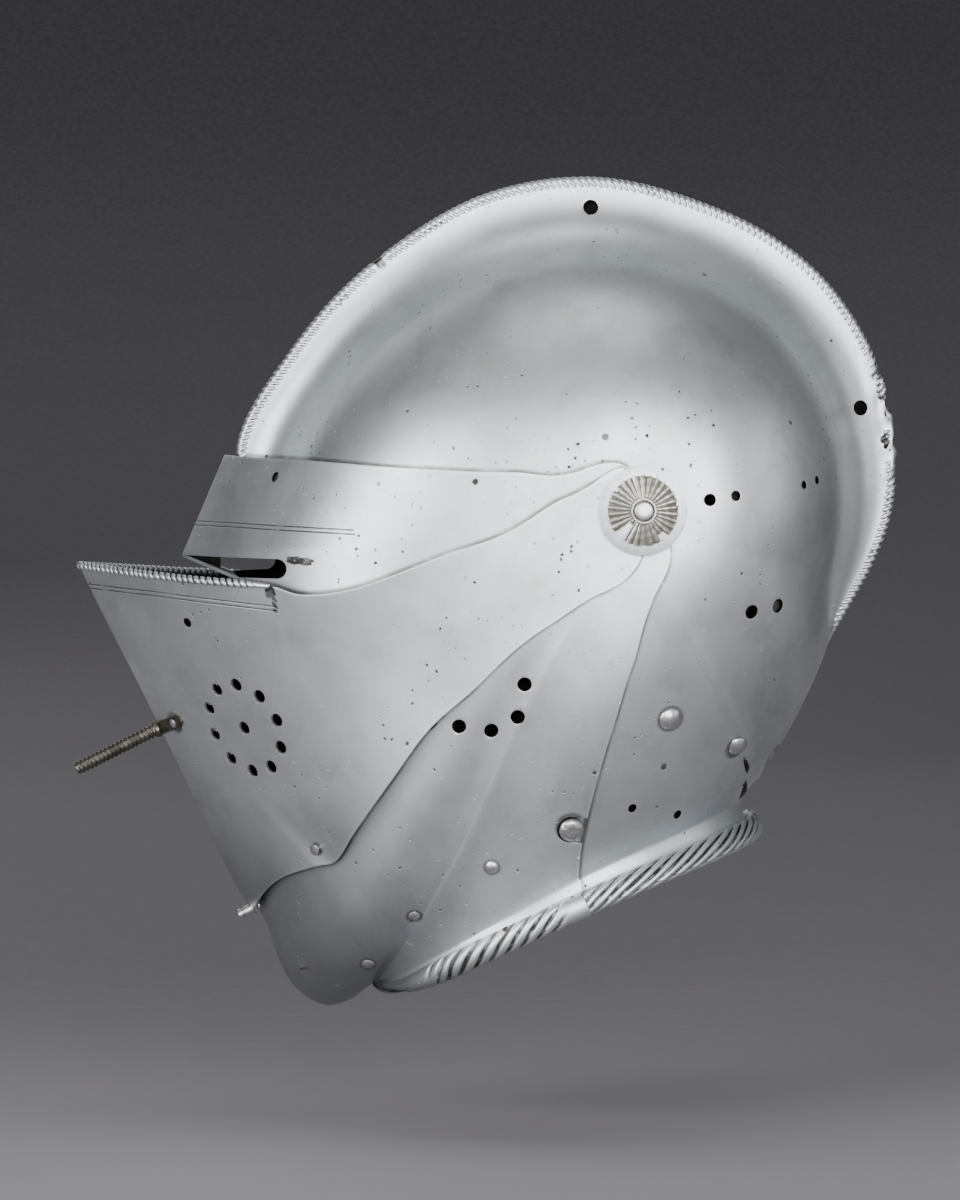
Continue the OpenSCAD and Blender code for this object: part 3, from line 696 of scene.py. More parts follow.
# outlines that the shader follows for the lightened edges (wear and a painted highlight) and for the painted
# shade and grime under the plates that lie over them
BORDERS = {}


def make_skull():
    short = M1 + E1 + TIP - 1
    outer, inner = [], []
    for th in np.linspace(3, 243.5, 330):
        outer.append(comb_row(th, skull_bend(th), M1, E1, TIP))
        inner.append(plain_row(skull_profile(th, PLATE), skull_bend(th), short))
    for i in range(100):
        ph = 180 - (180 - 83) * (i / 99) ** 1.15
        bend = skull_bend(ring_theta(ph, TUCK))
        outer.append(neck_row(SKULL_W, ph, 0, TUCK, bend, short, 22))
        inner.append(neck_row(SKULL_W, ph, PLATE, TUCK, bend, short, 22))
    ob = shell("skull_plate", outer, inner)
    # dents and a bent tip where the comb was struck at the back
    v = points_of(ob)
    r, th = fan(v)
    edge = np.clip((r - np.interp(th, *np.array(COMB).T) + 9) / 9, 0, 1)
    zone = np.clip(1 - np.abs(th - 162) / 14, 0, 1) ** 0.7 * edge ** 2 * (np.abs(v[:, 0]) < 12)
    bite = zone * (1.0 + lumps(v, 9, 3)) * 1.5
    v[:, 1] -= bite * v[:, 1] / r
    v[:, 2] -= bite * v[:, 2] / r
    v[:, 0] += zone * lumps(v, 11, 4) * 1.6
    set_points(ob, v)
    boolean(ob, ears(SKULL_W), "UNION")
    b = drills(skull_at, [[y, z, 1.5] for y, z in SKULL_LINING] + SKULL_HOLES + [[*NECK_STUD, 4.95]])
    for y, z in CREST_HOLES:
        m = side_frame(0)
        m[:3, 3] = [0, y, z]
        b.add(*tube(CREST_R, 0.35, 14, 48), m, sides=(1, -1), mat=2)
    cut_out(ob, b, "skull_tool")
    engrave(ob, [])
    v = points_of(ob)
    r, th = fan(v)
    rim = np.interp(th, *np.array(COMB).T) - r
    hurt = np.clip(1 - np.abs(th - 163) / 19, 0, 1) ** 0.6 * np.clip((7.5 - rim) / 5, 0, 1)
    crack = np.clip(1 - np.abs(th - 45.5) / 1.2, 0, 1) * np.clip((6 - rim) / 3, 0, 1)
    torn(ob, hurt * np.clip(lumps(v, 5.0, 8) * 1.3 - 0.15, 0, 1) + crack)
    return ob


SLIT_TOP, SLIT_LOW, SLIT_REAR = -19.2, -26.8, -135.0


def make_visor():
    rows, cols = 66, 170
    outer, inner = [], []
    for k in np.linspace(0, 1, rows):
        th = mix(-17, 7.5, k)
        outer.append(plain_row(visor_profile(th, 0), bender(VISOR_LOW, VISOR_TOP, k), cols, 1.6))
        inner.append(plain_row(visor_profile(th, PLATE), bender(VISOR_LOW, VISOR_TOP, k), cols))
    BORDERS["visor"] = [outer[-1][:, 1:3]]
    ob = shell("visor_plate", outer, inner)
    a = np.radians(np.linspace(-90, 90, 17))
    rear = [[SLIT_REAR - 3.8 + 3.8 * math.cos(t), -23 + 3.8 * math.sin(t)] for t in a]
    b = Build()
    # the slit's cut walls take the near-black inside colour: painted shade in the slit
    b.add(*prism([[-189, SLIT_LOW]] + rear + [[-189, SLIT_TOP]], -130, 130), mat=1)
    boolean(ob, b.object("slit_tool"), "DIFFERENCE")
    b = Build()
    b.add(*prism([[-177, -19.3], [-154, -28], [-152, -80], [-240, -80], [-240, -19.3]], -100, 100))
    boolean(ob, b.object("beak_tool"), "DIFFERENCE")
    # floor of the beak: a thin sloping lip under the slit, and the bar behind the slit
    b = Build()
    outline = [[0, 0], [8, 2.6], [24, 9.3], [43, 20], [46, 22.1],
               [-46, 22.1], [-43, 20], [-24, 9.3], [-8, 2.6]]
    s, c = sind(-21), cosd(-21)
    low = [[x, -174.2 + y * c, -19.9 + y * s] for x, y in outline]
    top = [[x, y - 1.2 * s, z + 1.2 * c] for x, y, z in low]
    b.add(low + top, prism_faces(len(outline)))
    boolean(ob, b.object("floor_tool"), "UNION")
    b = Build()
    # the bar takes the near-black inside colour: a dark block behind the slit, standing in for the shade seen
    # through it
    b.add(*prism([[-172, -20.4], [-159, -25.4], [-159, -15], [-172, -15]], -1, 1), mat=1)
    boolean(ob, b.object("bar_tool"), "UNION")
    boolean(ob, ears(VISOR_W), "UNION")
    b = drills(visor_at, [[-138.5, 12.3, 2.05]])
    cut_out(ob, b, "visor_tool")
    engrave(ob, [([[-172, -6.5], [-152.2, -6.75], [-129.8, -7.5], [-110, -8.4]], -190, -109)])
    v = points_of(ob)
    nicks = np.minimum(near_line(v, np.array([[-134.2, -18.6], [-125.6, -19.6]])),
                       near_line(v, np.array([[-134.2, -20.1], [-126.4, -20.8]])))
    torn(ob, np.clip(0.8 - nicks, 0, 0.5) * 2)
    return ob


def vents(b, r):
    """The ring of breath holes, both sides."""
    m = place(upper_at, *VENT_C)
    b.add(*tube(r, -9, 9, 36), m, sides=(1, -1))
    for i in range(VENT_N):
        t = math.radians(i * 360 / VENT_N + 12)
        k = m.copy()
        k[:3, 3] = m[:3, 3] + m[:3, 0] * VENT_RING * math.cos(t) + m[:3, 1] * VENT_RING * math.sin(t)
        b.add(*tube(r, -9, 9, 36), k, sides=(1, -1))


def make_upper():
    rows, cols = 120, 190
    outer, inner = [], []
    for k in np.linspace(0, 1, rows):
        th = mix(-48.5, -6.2, k)
        outer.append(plain_row(upper_profile(th, 0), bender(UPPER_LOW, UPPER_TOP, k), cols, 1.4))
        inner.append(plain_row(upper_profile(th, PLATE), bender(UPPER_LOW, UPPER_TOP, k), cols))
    BORDERS["upper_top"] = [outer[-1][:, 1:3]]
    BORDERS["upper_low"] = [outer[0][:, 1:3]]
    ob = shell("upper_bevor_plate", outer, inner)
    boolean(ob, ears(UPPER_W), "UNION")
    b = drills(upper_at, [[-172, -44, 1.95], [*BEVOR_RIVET, 1.5]])
    vents(b, VENT)
    b.add(*tube(1.6, -12, 12, 24), prow(*PROW_AT))
    r = 2.6
    a = np.radians(np.linspace(0, 180, 17))
    slot = [[r * math.cos(t), r * math.sin(t)] for t in a] + [[-r, -16], [r, -16]]
    b.add(*slot_tool(slot, 12), prow(*CATCH))
    cut_out(ob, b, "upper_tool")
    engrave(ob, [([[-216, -31.2], [-187.4, -33.3], [-164.3, -35.7], [-138.9, -38.2]], -260, -138.5)])
    v = points_of(ob)
    ding = np.hypot((v[:, 1] + 141.4) * 0.8, (v[:, 2] + 31.6) * 0.6) + 0.35 * lumps(v, 2.2, 12)
    line = near_line(v, np.array([[-140.6, -31.5], [-139.5, -38.8]]))
    torn(ob, np.maximum(np.clip(1.9 - ding, 0, 1), np.clip(0.75 - line, 0, 0.5) * 2))
    return ob


def make_lower():
    cols = 150
    outer, inner = [], []
    for i in range(112):
        ph = 92 * (1 - i / 112) ** 1.15
        bend = lower_bend(ring_theta(ph, 0) - 360)
        outer.append(neck_row(LOWER_W, ph, 0, 0, bend, cols, 22))
        inner.append(neck_row(LOWER_W, ph, PLATE, 0, bend, cols, 22))
    outer.append(neck_row(LOWER_W, 0, 0, 0, lower_bend(ring_theta(0, 0) - 360), cols, 22))
    inner.append(neck_row(LOWER_W, 0, PLATE, 0, lower_bend(ring_theta(0, 0) - 360), cols, 22))
    for i in range(90):
        th = mix(-61.6, -38, (i / 89) ** 1.15)
        keel = 1.4 * ease((th + 61.3) / 3)
        outer.append(plain_row(chin_profile(th, 0), lower_bend(th), cols, keel))
        inner.append(plain_row(chin_profile(th, PLATE), lower_bend(th), cols))
    BORDERS["lower"] = [outer[0][:, 1:3]]
    ob = shell("lower_bevor_plate", outer, inner)
    boolean(ob, ears(LOWER_W), "UNION")
    b = drills(lower_at, [[y, z, VENT] for y, z in HEARING] + [[y, z, 1.5] for y, z in LOWER_LINING])
    r = NECK_STUD_R + 0.85
    a = np.radians(np.linspace(90, 270, 25))
    slot = [[r * math.cos(t), r * math.sin(t)] for t in a] + [[16, -r], [16, r]]
    s, c = sind(-27), cosd(-27)
    slot = [[x * c - y * s, x * s + y * c] for x, y in slot]
    b.add(*slot_tool(slot, 9), place(skull_at, *NECK_STUD), sides=(1, -1))
    b.add(*tube(2.25, -14, 10, 32), prow(*CATCH))
    cut_out(ob, b, "lower_tool")
    engrave(ob, [])
    v = points_of(ob)
    cross = np.minimum(near_line(v, np.array([[-82.0, -80.6], [-78.4, -82.2]])),
                       near_line(v, np.array([[-80.6, -79.4], [-79.9, -83.4]])))
    torn(ob, np.clip(0.95 - cross, 0, 0.5) * 2)
    return ob


# ---------------------------------------------------------------- roped edges
def rope(path, out, radius, flat, pitch, slant, depth, around=28, seed=1, plain=None, sharp=0.62, taper=0):
    """A cabled edge swept along a path: out is the direction of angle 0, flat the scale along and across it."""
    path, out = np.asarray(path, float), np.asarray(out, float)
    tan = np.gradient(path, axis=0)
    tan /= np.linalg.norm(tan, axis=1)[:, None]
    out = out - np.sum(out * tan, 1)[:, None] * tan
    out /= np.linalg.norm(out, axis=1)[:, None]
    up = np.cross(tan, out)
    s = np.concatenate([[0], np.cumsum(np.linalg.norm(np.diff(path, axis=0), axis=1))])
    r = np.random.default_rng(seed)
    at, on = np.arange(0, s[-1] + 30, pitch * 1.7), np.arange(0, s[-1] + 30, pitch * 2.3)
    jitter = np.interp(s, at, r.normal(0, 0.11, len(at)))
    strong = np.interp(s, on, r.uniform(0.65, 1.1, len(on)))
    a = np.linspace(-math.pi, math.pi, around, endpoint=False)
    lean = np.broadcast_to(np.asarray(slant, float), s.shape)
    phase = (s / pitch + jitter)[:, None] - lean[:, None] * a[None, :] / (2 * math.pi)
    wave = np.abs(np.sin(math.pi * phase))
    groove = np.clip(1 - wave / sharp, 0, 1) ** 0.9 + 0.10 * (1 - wave)
    if taper:
        groove = groove * np.clip((taper - np.abs(np.degrees(a))) / 38, 0, 1)[None, :]
    rad = np.broadcast_to(np.asarray(radius, float), s.shape)
    dep = np.broadcast_to(np.asarray(depth, float), s.shape) * strong
    if plain is not None:
        dep = dep * plain
    rr = rad[:, None] - dep[:, None] * groove
    fo, fu = flat
    v = (path[:, None, :] + (rr * np.cos(a))[:, :, None] * out[:, None, :] * fo
         + (rr * np.sin(a))[:, :, None] * up[:, None, :] * fu)
    n, m = len(path), around
    verts = v.reshape(-1, 3)
    faces = grid_faces(n, m, wrap=True)
    faces += [tuple(reversed(range(m))), tuple(range((n - 1) * m, n * m))]
    deep = groove * (dep[:, None] / max(1e-6, float(np.max(dep))))
    return verts, faces, deep.ravel()


def resample(p, step):
    p = np.asarray(p, float)
    s = np.concatenate([[0], np.cumsum(np.linalg.norm(np.diff(p, axis=0), axis=1))])
    n = max(8, int(s[-1] / step))
    t = np.linspace(0, s[-1], n)
    return np.stack([np.interp(t, s, p[:, i]) for i in range(3)], 1)


def rim_path(ph0, ph1, inset, back):
    """Middle of the cabled neck edge: a little above and inside the rim."""
    pts = []
    for ph in np.linspace(ph0, ph1, 260):
        a = ring(WAIST_F, WAIST_B, WAIST_W, ph, inset)
        rim = ring(FLANGE_F, FLANGE_B, FLANGE_W, ph, inset)
        g = ease(abs(ph) / 40)
        b = a + (rim - a) * g
        c = np.array([0, (WAIST_F[0] + WAIST_B[0]) / 2, b[2]])
        out = (b - c) / np.linalg.norm(b - c)
        pts.append(b - out * back * 0.72 + np.array([0, 0, back * 0.72]))
    return np.array(pts)


def radial(p, centre_y):
    d = p - np.stack([np.zeros(len(p)), np.full(len(p), centre_y), p[:, 2]], 1)
    return d / np.linalg.norm(d, axis=1)[:, None]


def rope_piece(name, verts, faces, deep, body, mat):
    ob = Build().add(verts, faces).object(name)
    field(ob, "deep", deep)
    for key in ("engr", "edge", "under"):
        field(ob, key, np.full(len(ob.data.vertices), 40.0))
    ob.data.materials.append(mat)
    ob.data.shade_smooth()
    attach(ob, body)
    return ob


# ---------------------------------------------------------------- small metal pieces
def rosette():
    """Fluted boss with broken petals, as a relief over angle and radius."""
    petals, per, rings = 30, 14, 12
    n = petals * per
    a = np.linspace(0, 2 * math.pi, n, endpoint=False)
    deg = np.degrees(a)
    r = np.random.default_rng(11)
    skew = np.interp(a, np.linspace(0, 2 * math.pi, petals + 1), np.append(r.normal(0, 0.09, petals), 0))
    ridge = np.abs(np.sin((a * petals / 2) + skew)) ** 0.6
    rim = ROSETTE_R * (0.965 + 0.035 * ridge)
    for mid, half, left in [(228, 9, 0.45), (308, 8, 0.80), (141, 4, 0.90), (271, 3, 0.97), (12, 3, 0.96)]:
        d = np.abs((deg - mid + 180) % 360 - 180)
        k = np.clip((half - d) / 0.8, 0, 1)
        rim = np.minimum(rim, ROSETTE_R * (1 - (1 - left) * k + 0.02 * np.sin(deg * 1.7) * k))
    wear = np.interp(a, np.linspace(0, 2 * math.pi, 13), np.append(r.uniform(0.6, 1.0, 12), 0.8))
    verts = []
    for i in range(rings):
        t = i / (rings - 1)
        rad = 4.35 + (rim - 4.35) * t
        rise = 2.95 - 1.75 * (rad - 4.35) / 9.25 - 0.25 * t ** 4
        cut = (1 - ridge) * (0.15 + 0.75 * t) * wear
        z = rise - cut + 0.06 * np.sin(rad * 2.1 + a * 5)
        verts.append(np.stack([rad * np.cos(a), rad * np.sin(a), z], 1))
    verts.append(np.stack([rim * np.cos(a), rim * np.sin(a), 0.25 * ridge + 0.05], 1))
    verts.append(np.stack([4.35 * np.cos(a), 4.35 * np.sin(a), np.full(n, 0.05)], 1))
    v = np.concatenate(verts)
    f = grid_faces(len(verts), n, wrap=True)
    m = len(verts) - 1
    f += [(m * n + j, m * n + (j + 1) % n, (j + 1) % n, j) for j in range(n)]
    hub, hf = lathe([[3.8, 0.1], [5.15, 0.1], [5.15, 3.05], [4.85, 3.4], [4.2, 3.45], [3.95, 3.2]], 72)
    return (v, f), (hub, hf)


def thread(radius, length, pitch, depth, n=36, step=0.13):
    m = int(length / step)
    z = np.linspace(0, length, m)
    a = np.linspace(0, 2 * math.pi, n, endpoint=False)
    ph = (z[:, None] / pitch - a[None, :] / (2 * math.pi)) % 1.0
    cut = np.abs(ph - 0.5) * 2
    runout = np.clip(np.minimum(z, length - z) / 1.2, 0, 1)[:, None]
    r = radius - depth * np.clip(cut * 1.25 - 0.12, 0, 1) * runout
    r = r - np.clip(1 - (length - z) / 0.9, 0, 1)[:, None] * 0.55
    v = np.stack([r * np.cos(a), r * np.sin(a), np.broadcast_to(z[:, None], r.shape)], -1).reshape(-1, 3)
    f = grid_faces(m, n, wrap=True) + [tuple(reversed(range(n))), tuple(range((m - 1) * n, m * n))]
    return v, f


def dome(radius, height, shank=0.0, depth=0.0, n=40):
    big = (radius ** 2 + height ** 2) / (2 * height)
    t = np.linspace(0, math.asin(min(1, radius / big)), 9)
    cap = [[big * math.sin(x), height - big + big * math.cos(x)] for x in t]
    prof = cap + [[radius, -0.12], [radius * 0.97, -0.3]]
    prof += [[shank, -0.3], [shank, -depth], [0, -depth]] if shank else [[0, -0.3]]
    prof[0][0] = 0
    return lathe(prof, n)


def beaten(v, amount, size, seed):
    """Small hammer dents on a turned piece."""
    v = np.array(v)
    v[:, 2] += amount * lumps(v, size, seed) * (v[:, 2] > -0.5)
    v[:, 0] += 0.5 * amount * lumps(v, size, seed + 1)
    return v


def rivets(name, row, places, radius, height, shank, depth, body, node, mat, seed, lift=0.06):
    b = Build()
    for i, (y, z) in enumerate(places):
        v, f = dome(radius, height, shank, depth)
        b.add(beaten(v, 0.05, 5, seed + i), f, place(row, y, z, lift), sides=(1, -1))
    finish_piece(b.object(name), body, node, [mat], 50)


def relaxed(p, times):
    for _ in range(times):
        p[1:-1] = 0.25 * p[:-2] + 0.5 * p[1:-1] + 0.25 * p[2:]
    return p


def strap(name, row, places, end_dir, body, node, mat):
    """A leather strip along the inside of a plate, through its rivets and across the middle."""
    pts, nrm = [], []
    for (y0, z0), (y1, z1) in zip(places[:-1], places[1:]):
        for t in np.linspace(0, 1, 16, endpoint=False):
            y, z = mix(y0, y1, t), mix(z0, z1, t)
            m = place(row, y, z)
            pts.append(m[:3, 3])
            nrm.append(m[:3, 2])
    y, z = places[-1]
    w0, d0 = half_width(row, y, z), back_direction(y, z)
    d0 = d0 - 360 if end_dir < 0 and d0 > 180 else d0
    for t in np.linspace(0, 1, 24):
        d = mix(d0, end_dir, ease(t * 1.3))
        q = row(d)
        w = w0 * (1 - t)
        r = float(np.interp(-w, -q[:, 1], q[:, 0]))
        pts.append(np.array([w, -r * cosd(d), r * sind(d)]))
    pts = np.array(pts)
    full = relaxed(resample(np.concatenate([pts, (pts * [-1, 1, 1])[::-1]]), 2.5), 14)
    tan = np.gradient(full, axis=0)
    tan /= np.linalg.norm(tan, axis=1)[:, None]
    first = np.array(nrm)
    mid = np.array([0, -cosd(end_dir), sind(end_dir)])
    inner_w = abs(pts[len(first) - 1][0])
    out = np.zeros_like(full)
    for i, p in enumerate(full):
        flip = [1 if p[0] > 0 else -1, 1, 1]
        k = abs(p[0]) / inner_w
        nearest = np.argmin(np.linalg.norm(pts[:len(first)] - p * flip, axis=1))
        out[i] = mid * (1 - k) + first[-1] * flip * k if k < 1 else first[nearest] * flip
    out = relaxed(out, 20)
    out -= np.sum(out * tan, 1)[:, None] * tan
    out /= np.linalg.norm(out, axis=1)[:, None]
    wide = np.cross(tan, out)
    sec = np.array([[-6.4, -3.1], [-6.9, -3.6], [-6.9, -4.5], [-6.4, -5.0], [-3, -5.1], [3, -5.1],
                    [6.4, -5.0], [6.9, -4.5], [6.9, -3.6], [6.4, -3.1], [3, -3.0], [-3, -3.0]])
    wave = 0.25 * lumps(full, 24, 5)
    depth = sec[None, :, 1:2] + wave[:, None, None]
    v = full[:, None, :] + wide[:, None, :] * sec[None, :, 0:1] + out[:, None, :] * depth
    n, m = len(full), len(sec)
    f = grid_faces(n, m, wrap=True) + [tuple(reversed(range(m))), tuple(range((n - 1) * m, n * m))]
    ob = Build().add(v.reshape(-1, 3), f).object(name)
    finish_piece(ob, body, node, [mat], 45)


# ---------------------------------------------------------------- materials
class Mat:
    """A short way to write node trees."""

    def __init__(self, name):
        self.m = bpy.data.materials.new(name)
        self.m.use_nodes = True
        self.t = self.m.node_tree
        self.t.nodes.clear()
        self.out = self.t.nodes.new("ShaderNodeOutputMaterial")
        self.p = self.t.nodes.new("ShaderNodeBsdfPrincipled")
        self.t.links.new(self.p.outputs[0], self.out.inputs[0])
        self.co = self.t.nodes.new("ShaderNodeTexCoord").outputs["Object"]

    def link(self, a, b):
        self.t.links.new(a, b)

    def put(self, socket, value):
        if hasattr(value, "is_output"):
            self.link(value, socket)
        else:
            socket.default_value = value

    def math(self, op, a, b=0.0, c=0.0, clamp=False):
        n = self.t.nodes.new("ShaderNodeMath")
        n.operation, n.use_clamp = op, clamp
        for i, x in enumerate((a, b, c)):
            self.put(n.inputs[i], x)
        return n.outputs[0]

    def add(self, *terms):
        out = terms[0]
        for t in terms[1:]:
            out = self.math("ADD", out, t)
        return out

    def mul(self, a, b):
        return self.math("MULTIPLY", a, b)

    def ramp(self, x, lo, hi, a=0.0, b=1.0):
        n = self.t.nodes.new("ShaderNodeMapRange")
        n.interpolation_type = "SMOOTHSTEP"
        self.put(n.inputs["Value"], x)
        for k, v in (("From Min", lo), ("From Max", hi), ("To Min", a), ("To Max", b)):
            self.put(n.inputs[k], v)
        return n.outputs[0]

    def noise(self, scale, detail=3.0, rough=0.5, co=None, warp=0.0):
        n = self.t.nodes.new("ShaderNodeTexNoise")
        self.link(co or self.co, n.inputs["Vector"])
        n.inputs["Scale"].default_value = scale
        n.inputs["Detail"].default_value = detail
        n.inputs["Roughness"].default_value = rough
        n.inputs["Distortion"].default_value = warp
        return n.outputs["Fac"]

    def warped(self, scale, amount):
        """Coordinates pushed about by noise, for irregular outlines."""
        n = self.t.nodes.new("ShaderNodeTexNoise")
        self.link(self.co, n.inputs["Vector"])
        n.inputs["Scale"].default_value = scale
        n.inputs["Detail"].default_value = 2
        v = self.t.nodes.new("ShaderNodeVectorMath")
        v.operation = "MULTIPLY_ADD"
        self.link(n.outputs["Color"], v.inputs[0])
        v.inputs[1].default_value = (amount,) * 3
        self.link(self.co, v.inputs[2])
        return v.outputs[0]

    def cells(self, scale, co):
        n = self.t.nodes.new("ShaderNodeTexVoronoi")
        self.link(co, n.inputs["Vector"])
        n.inputs["Scale"].default_value = scale
        return n.outputs["Distance"], n.outputs["Color"]

    def turned(self, rotation, scale):
        n = self.t.nodes.new("ShaderNodeMapping")
        self.link(self.co, n.inputs["Vector"])
        n.inputs["Rotation"].default_value = [math.radians(x) for x in rotation]
        n.inputs["Scale"].default_value = scale
        return n.outputs[0]

    def attribute(self, name):
        n = self.t.nodes.new("ShaderNodeAttribute")
        n.attribute_name = name
        return n.outputs["Fac"]

    def first(self, colour):
        n = self.t.nodes.new("ShaderNodeSeparateColor")
        self.link(colour, n.inputs[0])
        return n.outputs[0], n.outputs[1]

    def blend(self, fac, a, b):
        n = self.t.nodes.new("ShaderNodeMix")
        n.data_type = "RGBA"
        self.put(n.inputs[0], fac)
        for i, x in ((6, a), (7, b)):
            self.put(n.inputs[i], (*x, 1.0) if isinstance(x, tuple) and len(x) == 3 else x)
        return n.outputs[2]

    def finish(self, colour, rough, height, metal=1.0, strength=1.0):
        self.put(self.p.inputs["Base Color"], colour)
        self.put(self.p.inputs["Roughness"], rough)
        self.put(self.p.inputs["Metallic"], metal)
        b = self.t.nodes.new("ShaderNodeBump")
        b.inputs["Distance"].default_value = MM
        b.inputs["Strength"].default_value = strength
        self.link(height, b.inputs["Height"])
        self.link(b.outputs[0], self.p.inputs["Normal"])
        return self.m


def steel(name, light, shade, rough, wave=0.5, pits=1.0, brown=0.2, marks=True):
    """Old polished plate: slow hammered waves, pitting in patches, scratches and a thin brown patina."""
    m = Mat(name)
    slow = m.noise(15, 2, 0.45)
    mid = m.noise(60, 4, 0.55)
    cloud = m.noise(26, 7, 0.62, warp=0.4)
    fine = m.noise(900, 3, 0.6)
    patch = m.ramp(m.noise(22, 4, 0.6), 0.46, 0.66)
    warped = m.warped(420, 0.0016)
    d1, c1 = m.cells(300, warped)
    r1, g1 = m.first(c1)
    small = m.ramp(m.math("SUBTRACT", d1, m.mul(g1, 0.16)), 0.0, 0.10, 1.0, 0.0)
    small = m.mul(small, m.ramp(r1, 0.50, 0.56))
    small = m.mul(small, m.ramp(patch, 0.02, 0.5, 0.22, 1.0))
    d2, c2 = m.cells(82, warped)
    r2, g2 = m.first(c2)
    large = m.ramp(m.math("SUBTRACT", d2, m.mul(g2, 0.09)), 0.0, 0.045, 1.0, 0.0)
    large = m.mul(large, m.ramp(r2, 0.80, 0.84))
    pit = m.math("MAXIMUM", small, large, clamp=True)
    pit = m.mul(pit, pits)
    lines = None
    for turn, size, where in (((20, 35, 5), (30, 1500, 1500), 8), ((75, -20, 50), (26, 1300, 1300), 11)):
        streak = m.ramp(m.noise(1.0, 1, 0.5, co=m.turned(turn, size)), 0.715, 0.76)
        streak = m.mul(streak, m.ramp(m.noise(where * 3.1, 2), 0.50, 0.60))
        lines = streak if lines is None else m.math("MAXIMUM", lines, streak)
    colour = m.blend(m.ramp(cloud, 0.35, 0.7), light, shade)
    colour = m.blend(m.mul(m.ramp(m.noise(48, 6, 0.65), 0.52, 0.72), brown), colour, (0.30, 0.25, 0.19))
    colour = m.blend(m.mul(lines, 0.5), colour, (0.16, 0.15, 0.14))
    colour = m.blend(m.mul(pit, 0.95), colour, (0.03, 0.025, 0.02))
    height = m.add(m.mul(slow, wave), m.mul(mid, 0.07), m.mul(fine, 0.006),
                   m.mul(pit, -0.13), m.mul(lines, -0.02))
    if marks:
        # the plate's own border lightened: rubbed wear, and a painted highlight where the edge would catch
        # light
        edge_wear_and_highlight = m.ramp(m.attribute("edge"), 0.5, 1.3, 1.0, 0.0)
        edge_wear_and_highlight = m.mul(edge_wear_and_highlight, m.ramp(m.noise(120, 4), 0.25, 0.55, 0.4, 1.0))
        # painted shade and grime: a dark line along the edges of the plates that lie over this one, and a dark
        # ring round the rivets, where shade falls
        under = m.ramp(m.attribute("under"), 0.4, 2.0, 1.0, 0.0)
        under = m.mul(under, m.ramp(m.noise(90, 5), 0.2, 0.6, 0.45, 1.0))
        colour = m.blend(m.mul(edge_wear_and_highlight, 0.55), colour, (0.86, 0.88, 0.89))
        colour = m.blend(m.mul(under, 0.8), colour, (0.07, 0.06, 0.05))
        height = m.add(height, m.mul(under, -0.05))
        engr = m.math("ABSOLUTE", m.math("SUBTRACT", m.math("ABSOLUTE", m.attribute("engr")), 0.8))
        cut = m.mul(m.ramp(engr, 0.10, 0.34, 1.0, 0.0), m.ramp(m.noise(160, 3), 0.30, 0.5, 0.35, 1.0))
        deep = m.ramp(m.attribute("deep"), 0.10, 0.52)
        deep = m.mul(deep, m.ramp(m.noise(300, 4), 0.25, 0.6, 0.6, 1.0))
        colour = m.blend(m.mul(cut, 0.8), colour, (0.05, 0.045, 0.04))
        colour = m.blend(m.mul(deep, 0.96), colour, (0.028, 0.022, 0.018))
        height = m.add(height, m.mul(cut, -0.18))
        # painted dark reflection: the lower front of the plates, at the chin and the neck rim, darkened towards
        # the bottom
        axis = m.t.nodes.new("ShaderNodeSeparateXYZ")
        m.link(m.co, axis.inputs[0])
        low = m.add(m.mul(axis.outputs[1], 0.62), axis.outputs[2], m.mul(m.noise(30, 4), 0.03))
        colour = m.blend(m.ramp(low, -0.245, -0.165, 0.62, 0.0), colour, (0.12, 0.122, 0.13))
    roughness = m.add(m.mul(m.noise(40, 5, 0.6), 0.10), m.mul(pit, 0.35), m.mul(fine, 0.05), rough - 0.07)
    return m.finish(colour, roughness, height, metal=m.ramp(pit, 0.0, 1.0, 1.0, 0.35))


def plain_metal(name, light, shade, rough, bump=0.02, scale=500, dirt=(0.05, 0.04, 0.03), grime=0.5):
    m = Mat(name)
    n1, n2 = m.noise(scale * 0.25, 5, 0.6), m.noise(scale, 4, 0.6)
    colour = m.blend(m.ramp(n1, 0.35, 0.65), light, shade)
    colour = m.blend(m.mul(m.ramp(n2, 0.55, 0.75), grime), colour, dirt)
    height = m.add(m.mul(n1, bump * 3), m.mul(n2, bump))
    return m.finish(colour, m.add(m.mul(n1, 0.22), rough - 0.1), height, metal=0.95)


def leather(name):
    m = Mat(name)
    d, _ = m.cells(700, m.warped(900, 0.0006))
    n = m.noise(60, 5, 0.6)
    colour = m.blend(m.ramp(n, 0.3, 0.7), (0.115, 0.058, 0.030), (0.045, 0.024, 0.014))
    colour = m.blend(m.ramp(d, 0.3, 0.7, 0.35, 0.0), colour, (0.02, 0.012, 0.008))
    return m.finish(colour, m.add(m.mul(n, 0.2), 0.5), m.add(m.mul(d, 0.12), m.mul(n, 0.3)), metal=0.0)


